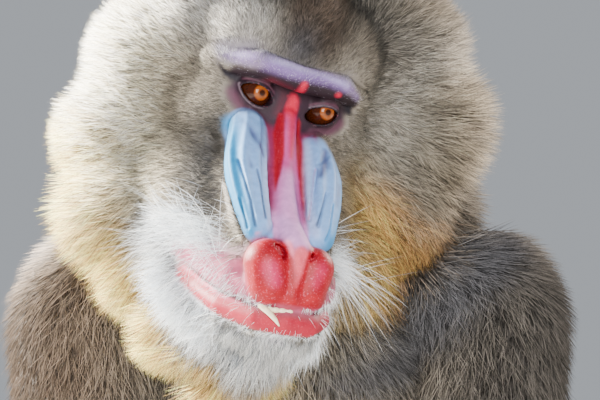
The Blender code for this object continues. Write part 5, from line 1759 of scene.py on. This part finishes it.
class Surface:
    """The finished skin as arrays, with the coat's fields at its vertices."""

    def __init__(self, skin: Thing) -> None:
        """Read the skin's triangles and the fields over it."""
        data = skin.data
        data.calc_loop_triangles()
        self.points = coordinates(skin)
        self.normals = coordinates(skin, "normal")
        corners = np.empty(len(data.loop_triangles) * 3, np.int32)
        data.loop_triangles.foreach_get("vertices", corners)
        self.corners = corners.reshape(-1, 3)
        a, b, c = (self.points[self.corners[:, index]] for index in range(3))
        self.areas = np.linalg.norm(np.cross(b - a, c - a), axis=1) / 2
        self.found = MARKINGS.read(self.points)
        self.ways, self.numbers, self.nearest = Lie(GUIDES).read(self.points)

    def scatter(self, crowd: Array, draw: Draw) -> tuple[Array, Array]:
        """Draw roots over the skin.

        Args:
            crowd: how many roots a square metre holds, at each vertex.
            draw: the random source.

        Returns:
            The triangle of each root and its shares of the corners.
        """
        weight = self.areas * crowd[self.corners].mean(axis=1)
        total = np.cumsum(weight)
        count = int(total[-1])
        steps = (np.arange(count) + draw.random(count)) / count * total[-1]
        triangle = np.minimum(np.searchsorted(total, steps), len(total) - 1)
        first, second = draw.random(count), draw.random(count)
        over = first + second > 1
        first[over], second[over] = 1 - first[over], 1 - second[over]
        return triangle, np.stack([1 - first - second, first, second], axis=1)

    def at(self, values: Array, triangle: Array, shares: Array) -> Array:
        """A field of the vertices read at the roots."""
        rows = values[self.corners[triangle]]
        if rows.ndim == 2:
            return (rows * shares).sum(axis=1)
        return (rows * shares[:, :, None]).sum(axis=1)

    def roots(self, triangle: Array, shares: Array) -> Roots:
        """The coat's fields at the drawn roots."""
        numbers = self.at(self.numbers, triangle, shares)
        return Roots(self.at(self.points, triangle, shares),
                     unit(self.at(self.normals, triangle, shares)),
                     unit(self.at(self.ways, triangle, shares)),
                     numbers[:, 0], numbers[:, 3], numbers[:, 1],
                     self.at(self.found["coat"], triangle, shares))


# ------------------------------------------------------------------ tufts
@dataclass
class Tufts:
    """Joined thin closed tufts of three sides.

    Attributes:
        rings: how many rings of points a tuft has before its tip.
        scatter_way: how far the way varies, as a tangent.
        droop: how much the hair bends down by its own weight.
        root_shade: the colour's share at the root: the dark undercoat, with painted shade among the
            roots.
        dark_tips: the share of tufts that end dark, and tip_loss how much darker.
        sunk: how deep the roots stand in the skin.
        clump_size: how wide the clumps of one way are; shade_size, those of one shade.
        patch: how wide a tuft is on the flat map.
    """

    rings: int = 2
    scatter_way: float = 0.28
    flatten: float = 0.55
    droop: float = 0.10
    root_shade: float = 0.26
    dark_tips: float = 0.38
    light: tuple[float, float] = (0.66, 1.44)
    tip_gain: float = 0.50
    patch: float = 0.003
    sunk: float = 0.0010
    clump_size: float = 0.0040
    clump_turn: float = 0.7
    shade_size: float = 0.0017
    tip_loss: float = 0.72

    def spine(self, roots: Roots, draw: Draw) -> tuple[list[Array], list[Array]]:
        """The points along each tuft and its heading at each.

        Args:
            roots: the roots.
            draw: the random source.

        Returns:
            The places of rings and tip, and the headings.
        """
        count = len(roots.place)
        normal = roots.normal
        way = roots.way - normal * (roots.way * normal).sum(axis=1, keepdims=True)
        way = unit(way)
        across = np.cross(normal, way)
        stray = draw.normal(0, self.scatter_way, (count, 1)) + self.wave(roots.place)
        shared = self.clump(roots.place, self.clump_size) - 0.5
        stray = stray + shared[:, None] * self.clump_turn
        way = unit(way + across * stray)
        lift = roots.lift * draw.uniform(0.6, 1.4, count)
        step = (roots.length / self.rings)[:, None]
        place = roots.place - normal * self.sunk
        places, headings = [place], []
        for index in range(self.rings):
            share = (index + 0.5) / self.rings
            angle = (lift * (1 - self.flatten * share))[:, None]
            heading = way * np.cos(angle) + normal * np.sin(angle)
            heading = unit(heading + np.array([0.0, 0.0, -1.0]) * self.droop * share)
            place = place + heading * step
            places.append(place)
            headings.append(heading)
        headings.append(headings[-1])
        return places, headings

    def wave(self, places: Array) -> Array:
        """A slow change of the hair's way over the skin, so that it lies in clumps."""
        first = np.sin(places @ np.array([310.0, -190.0, 260.0]) + 1.3)
        second = np.sin(places @ np.array([-140.0, 420.0, 510.0]))
        return (self.scatter_way * (0.6 * first + 0.6 * second))[:, None]

    def clump(self, places: Array, size: float) -> Array:
        """A number from 0 to 1 that neighbouring tufts share."""
        cells = np.floor(places / size) @ np.array([12.9898, 78.233, 37.719])
        return np.modf(np.abs(np.sin(cells) * 43758.5453))[0]

    def build(self, name: str, roots: Roots, unwrap: "Unwrap",
              draw: Draw) -> Thing:
        """One piece of the coat.

        Args:
            name: the object's name.
            roots: where the tufts grow.
            unwrap: the flat map of the skin that their patches lie on.
            draw: the random source.

        Returns:
            The object.
        """
        count = len(roots.place)
        places, headings = self.spine(roots, draw)
        width = roots.width * draw.uniform(0.75, 1.25, count)
        rows = []
        for index in range(self.rings):
            share = index / self.rings
            girth = (width * (1 - share) ** 0.8 * (0.8 if index == 0 else 1.0) / 2)[:, None]
            side = unit(np.cross(headings[index], roots.normal))
            up = np.cross(side, headings[index])
            for angle in (90, 210, 330):
                turn = math.radians(angle)
                rows.append(places[index] + (side * math.cos(turn)
                                             + up * math.sin(turn) * 0.7) * girth)
        rows.append(places[-1])
        corners = len(rows)
        points = np.stack(rows, axis=1).reshape(-1, 3)
        points[:, 2] = np.maximum(points[:, 2], HAIR_GROUND)
        faces = self.faces()
        table = (faces[None] + (np.arange(count) * corners)[:, None, None]).reshape(-1, 3)
        data = mesh_from(name, points, table)
        shades = self.shades(roots, corners, draw)
        tint = data.attributes.new("Tint", "BYTE_COLOR", "POINT")
        tint.data.foreach_set("color", with_alpha(shades))
        self.lay_out(data, roots, unwrap, corners, table)
        target = bpy.data.objects.new(name, data)
        bpy.context.scene.collection.objects.link(target)
        return target

    def faces(self) -> Array:
        """The triangles of one tuft."""
        rows = [(0, 2, 1)]
        for ring in range(self.rings - 1):
            low = ring * 3
            for index in range(3):
                other = (index + 1) % 3
                rows += [(low + index, low + other, low + 3 + other),
                         (low + index, low + 3 + other, low + 3 + index)]
        low = (self.rings - 1) * 3
        rows += [(low + index, low + (index + 1) % 3, low + 3) for index in range(3)]
        return np.array(rows)[:, ::-1]

    def shades(self, roots: Roots, corners: int, draw: Draw) -> Array:
        """The colour of every point of every tuft."""
        count = len(roots.place)
        light = draw.uniform(*self.light, count)
        light = light * (0.70 + 0.60 * self.clump(roots.place, self.shade_size))
        dark = draw.random(count) < self.dark_tips
        result = np.empty((count, corners, 3))
        for index in range(corners):
            share = min(1.0, (index // 3) / self.rings)
            level = self.root_shade + (1 - self.root_shade) * share ** 0.6
            factor = light * level
            factor = np.where(dark, factor * (1 - self.tip_loss * share),
                              factor * (1 + self.tip_gain * share))
            result[:, index] = roots.tone * factor[:, None]
        return np.clip(result.reshape(-1, 3), 0.0, 1.0)

    def lay_out(self, data: bpy.types.Mesh, roots: Roots, unwrap: "Unwrap", corners: int,
                table: Array) -> None:
        """Write the map on which each tuft is a small patch at its root's place."""
        flat = unwrap.flat(roots.place)
        offsets = np.zeros((corners, 2))
        for index in range(corners):
            ring, spoke = divmod(index, 3)
            offsets[index] = ((spoke - 1) / 2 if ring < self.rings else 0.0,
                              min(1.0, ring / self.rings) - 0.5)
        spots = (flat[:, None, :] + offsets[None] * self.patch).reshape(-1, 2)
        layer = data.uv_layers.new(name="OFBake")
        layer.uv.foreach_set("vector", spots[table.ravel()].astype(np.float32).ravel())


def mesh_from(name: str, points: Array, table: Array) -> bpy.types.Mesh:
    """A mesh of triangles from arrays of places and corners."""
    data = bpy.data.meshes.new(name)
    data.vertices.add(len(points))
    data.vertices.foreach_set("co", points.astype(np.float32).ravel())
    data.loops.add(table.size)
    data.loops.foreach_set("vertex_index", table.astype(np.int32).ravel())
    data.polygons.add(len(table))
    data.polygons.foreach_set("loop_start", np.arange(0, table.size, 3, dtype=np.int32))
    data.update(calc_edges=True)
    data.shade_smooth()
    return data


@dataclass(frozen=True)
class Unwrap:
    """A flat map of the skin round an axis: the turn about it and the place along it."""

    centre: Vector
    axis: Vector
    reach: float

    def flat(self, places: Array) -> Array:
        """The places on the map, from 0 to 1 each way."""
        axis = np.array(self.axis.normalized())
        start = np.array(self.axis.orthogonal().normalized())
        other = np.cross(axis, start)
        offset = places - np.array(self.centre)
        along = offset @ axis / self.reach + 0.5
        turn = np.arctan2(offset @ other, offset @ start) / (2 * math.pi) + 0.5
        return np.clip(np.stack([turn, along], axis=1), 0.002, 0.998)


def unwraps() -> dict[Zone, Unwrap]:
    """The map of each zone."""
    head = PLACE.head
    up = head.to_3x3() @ UP
    ahead = head.to_3x3() @ Vector((0, -1, 0))
    middle = head @ Vector((0, 0.06, -0.04))
    body = PLACE.body
    rows = {Zone.CROWN: Unwrap(head @ Vector((0, 0.05, 0.0)), ahead, 0.30),
            Zone.BEARD: Unwrap(head @ Vector((0, -0.02, -0.10)), up, 0.30),
            Zone.NAPE: Unwrap(body @ Vector((0, 0.03, 0.53)), UP, 0.45),
            Zone.BREAST: Unwrap(body @ Vector((0, 0.05, 0.35)), UP, 0.70),
            Zone.BACK: Unwrap(body @ Vector((0, 0.06, 0.35)), UP, 0.50),
            Zone.RUMP: Unwrap(body @ Vector((0, 0.13, 0.15)), UP, 0.50)}
    for side in Side:
        rows[zone_on(side, "CHEEK")] = Unwrap(middle, up, 0.40)
        rows[zone_on(side, "RUFF")] = Unwrap(middle, up, 0.40)
        arm, leg = (limb.points for limb in (Limb.arm(side), Limb.leg(side)))
        rows[zone_on(side, "ARM")] = Unwrap(body @ Vector(arm[2]),
                                            Vector(arm[0]) - Vector(arm[4]), 0.62)
        rows[zone_on(side, "LEG")] = Unwrap(body @ Vector(leg[2]), UP, 0.50)
    return rows


GUIDES = all_guides()


@dataclass(frozen=True)
class Whiskers:
    """A stand of long or special hairs along a path on the head.

    Attributes:
        name: its piece's name.
        path: where the roots lie, in millimetres of the head's frame.
        reach: how far they stray from the path, in millimetres.
        ways: the direction at the start and at the end of the path.
        fan: how far the direction strays.
        lengths: shortest and longest, in millimetres.
        width: at the root, in millimetres.
        lift: the angle off the skin, in degrees.
        count: how many hairs a side.
        tone: their colour.
        droop: how much they bend down.
        rings: how many rings of points each has.
        sides: the sides that they grow on.
    """

    name: str
    path: tuple[Point, ...]
    reach: float
    ways: tuple[Point, Point]
    fan: float
    lengths: tuple[float, float]
    width: float
    lift: float
    count: int
    tone: Colour
    droop: float = 0.25
    rings: int = 3
    sides: tuple[Side, ...] = (Side.LEFT, Side.RIGHT)

    def grow(self, skin: Thing, draw: Draw) -> tuple[Roots, Tufts]:
        """Find the roots on the skin.

        Args:
            skin: the finished skin.
            draw: the random source.

        Returns:
            The roots, and the kind of tufts that they carry.
        """
        path = np.array(self.path, float)
        total = self.count * len(self.sides)
        along = draw.random(total) * (len(path) - 1)
        step = np.minimum(along.astype(int), len(path) - 2)
        share = (along - step)[:, None]
        spots = path[step] * (1 - share) + path[step + 1] * share
        spots += draw.normal(0, self.reach / 2, (total, 3))
        mix = (along / (len(path) - 1))[:, None]
        ways = np.array(self.ways[0]) * (1 - mix) + np.array(self.ways[1]) * mix
        ways = unit(ways) + draw.normal(0, self.fan, (total, 3))
        signs = np.repeat([side.value for side in self.sides], self.count)
        spots[:, 0] *= signs
        ways[:, 0] *= signs
        table = moved(PLACE.turned(spots * MM, PLACE.twist), PLACE.head)
        turn = np.array(PLACE.head.to_3x3())
        places, normals = np.empty((total, 3)), np.empty((total, 3))
        for index, spot in enumerate(table):
            _, place, normal, _ = skin.closest_point_on_mesh(Vector(spot))
            places[index], normals[index] = place, normal
        lengths = draw.uniform(*self.lengths, total) * MM
        roots = Roots(places, normals, unit(ways @ turn.T), lengths,
                      np.full(total, self.width * MM), np.full(total, math.radians(self.lift)),
                      np.tile(np.array(self.tone), (total, 1)))
        kind = Tufts(rings=self.rings, scatter_way=0.10, droop=self.droop, root_shade=0.8,
                     dark_tips=0.0, light=(0.8, 1.1), tip_gain=0.1, flatten=0.3)
        return roots, kind


WHISKERS = [
    Whiskers("moustache", ((36, -66, -80), (44, -48, -82), (51, -26, -88), (55, -8, -102)), 12,
             ((0.9, -0.1, 0.35), (1, 0.3, -0.3)), 0.24, (14, 32), 0.42, 32, 700, WHITE),
    Whiskers("long", ((34, -78, -92), (44, -50, -86), (48, -28, -100)), 12,
             ((0.9, -0.2, 0.35), (1, 0.1, -0.5)), 0.22, (38, 64), 0.40, 38, 70, WHITE,
             droop=0.4, rings=6),
    Whiskers("jowl", ((50, -24, -116), (44, -46, -128), (28, -76, -134)), 11,
             ((1, 0.2, -0.5), (0.5, 0, -1)), 0.2, (14, 30), 0.55, 34, 1000, WHITE),
    Whiskers("upper_lip", ((42, -54, -98), (36, -76, -98), (28, -90, -102), (18, -104, -104)),
             8, ((0.8, 0.1, -0.4), (0.5, -0.2, -1)), 0.16, (8, 15), 0.34, 26, 200, WHITE),
    Whiskers("lip_edge", ((28, -94, -103), (16, -107, -104.5), (9, -112, -105)), 2.5,
             ((0.5, -0.3, -1), (0.2, -0.3, -1)), 0.15, (4, 8), 0.32, 34, 60, WHITE, rings=2),
    Whiskers("lower_lip", ((44, -48, -122), (32, -84, -123), (16, -104, -125), (0, -112, -125)),
             7, ((0.8, 0.0, -0.7), (0.1, -0.2, -1)), 0.2, (4, 9), 0.34, 28, 360, WHITE,
             rings=2),
    Whiskers("brow", ((46, 1, 12), (30, -12, 18), (12, -17, 18), (0, -17, 18)), 6,
             ((0.8, 0.2, 0.4), (0.1, 0.0, 1)), 0.4, (2.0, 4), 0.24, 26, 900,
             paint(214, 210, 230), droop=0.0, rings=1),
]


@dataclass
class Coat:
    """The whole coat in one piece for each zone, with the whiskers."""

    seed: int = 11
    bare_edge: float = 1.6
    slots: dict[Zone, str] = field(default_factory=lambda: {
        Zone.CROWN: "dark_coat", Zone.CHEEK_LEFT: "ruff", Zone.CHEEK_RIGHT: "ruff",
        Zone.RUFF_LEFT: "ruff", Zone.RUFF_RIGHT: "ruff",
        Zone.BEARD: "beard", Zone.BREAST: "belly_coat", Zone.NAPE: "dark_coat"})

    def build(self, skin: Thing) -> None:
        """Grow every piece of the coat over the skin.

        Args:
            skin: the finished skin.
        """
        surface = Surface(skin)
        draw = np.random.default_rng(self.seed)
        bare = smooth_step(surface.found["bare"] * self.bare_edge)
        crowd = surface.numbers[:, 2] * (1 - bare)
        triangle, shares = surface.scatter(crowd, draw)
        roots = surface.roots(triangle, shares)
        zones = np.array([list(Zone).index(guide.zone) for guide in GUIDES])
        owner = zones[surface.nearest[surface.corners[triangle, 0]]]
        maps = unwraps()
        finish = CoatFinish("coat").material()
        for index, zone in enumerate(Zone):
            piece = Tufts(rings=1).build("coat_" + zone.value, roots.part(owner == index),
                                         maps[zone], draw)
            self.dress(piece, finish, self.slots.get(zone, "olive_coat"))
        for row in WHISKERS:
            hairs, kind = row.grow(skin, draw)
            piece = kind.build("whiskers_" + row.name, hairs, maps[Zone.BEARD], draw)
            self.dress(piece, finish, "beard")

    def dress(self, piece: Thing, finish: bpy.types.Material, slot: str) -> None:
        """Give a piece of the coat its material and hang it under the root.

        Args:
            piece: the piece.
            finish: the coat's material.
            slot: not used.
        """
        piece.data.materials.append(finish)
        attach(piece, "root")
        LOG.info("%s: %d triangles", piece.name, len(piece.data.polygons))


# ------------------------------------------------------------------ eyes, teeth, nails
@dataclass
class Eyes:
    """The two eyeballs, looking past the viewer."""

    radius: float = 0.0105
    gaze: Point = (0.45, -0.886, -0.108)
    cornea_start: float = 0.84
    cornea_span: float = 0.16
    cornea_rise: float = 0.0009

    def build(self) -> None:
        """Make both eyes."""
        for side in Side:
            centre = PLACE.head @ Vector(side.of(PLACE.eye))
            mesh = bmesh.new()
            bmesh.ops.create_uvsphere(mesh, u_segments=64, v_segments=48, radius=self.radius)
            for vert in mesh.verts:
                along = vert.co.normalized().z
                if along > self.cornea_start:
                    share = (along - self.cornea_start) / self.cornea_span
                    vert.co.z += self.cornea_rise * math.sin(share * math.pi / 2)
            turn = UP.rotation_difference(Vector(self.gaze)).to_matrix().to_4x4()
            mesh.transform(Matrix.Translation(centre) @ turn)
            eye = add_object("eyeball_" + side.word, mesh)
            eye.data.shade_smooth()
            EyeFinish("eye_" + side.word, tuple(centre), self.gaze).put_on(eye, "iris")
            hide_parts("eye_" + side.word)
            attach(eye, "root")
            LOG.info("eye %s", side.word)


@dataclass
class Teeth:
    """The right upper canine over the lower lip and the edges of the front teeth."""

    count: int = 4

    def build(self) -> None:
        """Make the canine and the row of front teeth."""
        tusk = Clay(Space.HEAD, fineness=4)
        tusk.chain([(-0.0165, -0.1080, -0.1088), (-0.0132, -0.1135, -0.1104),
                    (-0.0092, -0.1178, -0.1136), (-0.0064, -0.1192, -0.1168)],
                   [0.0020, 0.0019, 0.0014, 0.0005])
        self.finish(tusk.melt("canine", 0.0003, 3), "tooth_canine_right")
        clay = Clay(Space.HEAD)
        for index in range(self.count):
            clay.ball((-0.0120 + 0.0042 * index, -0.1112, -0.1094), (0.0027, 0.0014, 0.0019))
        self.finish(clay.melt("front_teeth", 0.0005, 2), "teeth_front")

    def finish(self, tooth: Thing, node: str) -> None:
        """Turn a tooth with the muzzle, dress it and put it in the node's place."""
        set_coordinates(tooth, PLACE.twisted(coordinates(tooth)))
        tooth.data.shade_smooth()
        HardFinish(tooth.name, paint(228, 214, 182), paint(190, 160, 110)).put_on(tooth, "ivory")
        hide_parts(node)
        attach(tooth, "root")
        LOG.info("tooth %s", tooth.name)


@dataclass
class Nails:
    """The dark nails on fingers and toes."""

    size: Point = (0.0042, 0.0064, 0.0022)
    tilt: float = math.radians(16)

    def build(self) -> None:
        """Make one piece of nails for each hand and each foot."""
        for word, digits, thumb in (("hand", FINGERS, THUMB), ("foot", TOES, GREAT_TOE)):
            for side in Side:
                clay = Clay(Space.BODY)
                tips = [path[-1] for path in digits.paths(side)] + [side.of(thumb[1])]
                for x, y, z in tips:
                    clay.ball((x, y - 0.0035, z + digits.radius * 0.72), self.size, self.tilt)
                nails = clay.loose("nails_%s_%s" % (word, side.word))
                nails.data.shade_smooth()
                HardFinish(nails.name, paint(60, 50, 46), paint(36, 30, 28)).put_on(nails,
                                                                                   "hand_skin")
                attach(nails, "root")
                LOG.info("%s", nails.name)


# ------------------------------------------------------------------ studio
@dataclass
class Studio:
    """Pale floor and backdrop, soft light and the camera."""

    framing: Point = (0.0079, 0.0, -0.0613)
    distance: float = 2.6
    frame_width: float = 0.372
    sensor: float = 36.0

    def build(self) -> None:
        """Set up everything round the animal."""
        self.floor()
        self.lights()
        self.camera()

    def floor(self) -> None:
        """One flat sheet under the animal."""
        mesh = bmesh.new()
        bmesh.ops.create_grid(mesh, x_segments=4, y_segments=4, size=8.0)
        floor = add_object("floor", mesh)
        floor.data.shade_smooth()
        material = bpy.data.materials.new("floor")
        material.use_nodes = True
        shader = material.node_tree.nodes["Principled BSDF"]
        shader.inputs["Base Color"].default_value = (0.62, 0.61, 0.59, 1.0)
        shader.inputs["Roughness"].default_value = 0.9
        floor.data.materials.append(material)

    def light(self, name: str, place: Point, size: float, power: float,
              colour: Colour) -> None:
        """One soft square light that faces the head."""
        lamp = bpy.data.lights.new(name, "AREA")
        lamp.shape = "SQUARE"
        lamp.size = size
        lamp.energy = power
        lamp.color = colour
        target = bpy.data.objects.new(name, lamp)
        bpy.context.scene.collection.objects.link(target)
        target.location = place
        aim = Vector((0, -0.1, 0.5)) - Vector(place)
        target.rotation_euler = aim.to_track_quat("-Z", "Y").to_euler()

    def lights(self) -> None:
        """A warm light from above and behind the animal's right, and soft fill in front."""
        self.light("sun_side", (-1.6, 0.52, 1.35), 0.6, 520, (1.0, 0.96, 0.88))
        self.light("far_rim", (1.5, 1.2, 1.5), 0.8, 80, (1.0, 0.88, 0.76))
        self.light("front", (0.0, -2.5, 0.95), 1.2, 115, (1.0, 0.99, 0.98))
        world = bpy.data.worlds.new("studio")
        world.use_nodes = True
        shade = world.node_tree.nodes["Background"]
        shade.inputs["Color"].default_value = (0.80, 0.85, 0.92, 1.0)
        shade.inputs["Strength"].default_value = 0.50
        bpy.context.scene.world = world

    def camera(self) -> None:
        """A long lens, level with the head."""
        eyes = PLACE.head @ Vector((0.0, PLACE.eye[1], PLACE.eye[2]))
        aim = eyes + Vector(self.framing)
        data = bpy.data.cameras.new("camera")
        data.sensor_width = self.sensor
        data.lens = self.sensor * self.distance / self.frame_width
        data.clip_end = 50.0
        camera = bpy.data.objects.new("camera", data)
        bpy.context.scene.collection.objects.link(camera)
        camera.location = aim + Vector((0.0, -self.distance, 0.0))
        camera.rotation_euler = (math.pi / 2, 0.0, 0.0)
        bpy.context.scene.camera = camera


def main() -> None:
    """Build and dress the whole animal."""
    logging.basicConfig(level=logging.INFO)
    Studio().build()
    skin = Skin().build()
    LOG.info("skin: %d faces", len(skin.data.polygons))
    Coat().build(skin)
    Eyes().build()
    Teeth().build()
    Nails().build()


if __name__ == "__main__":
    main()
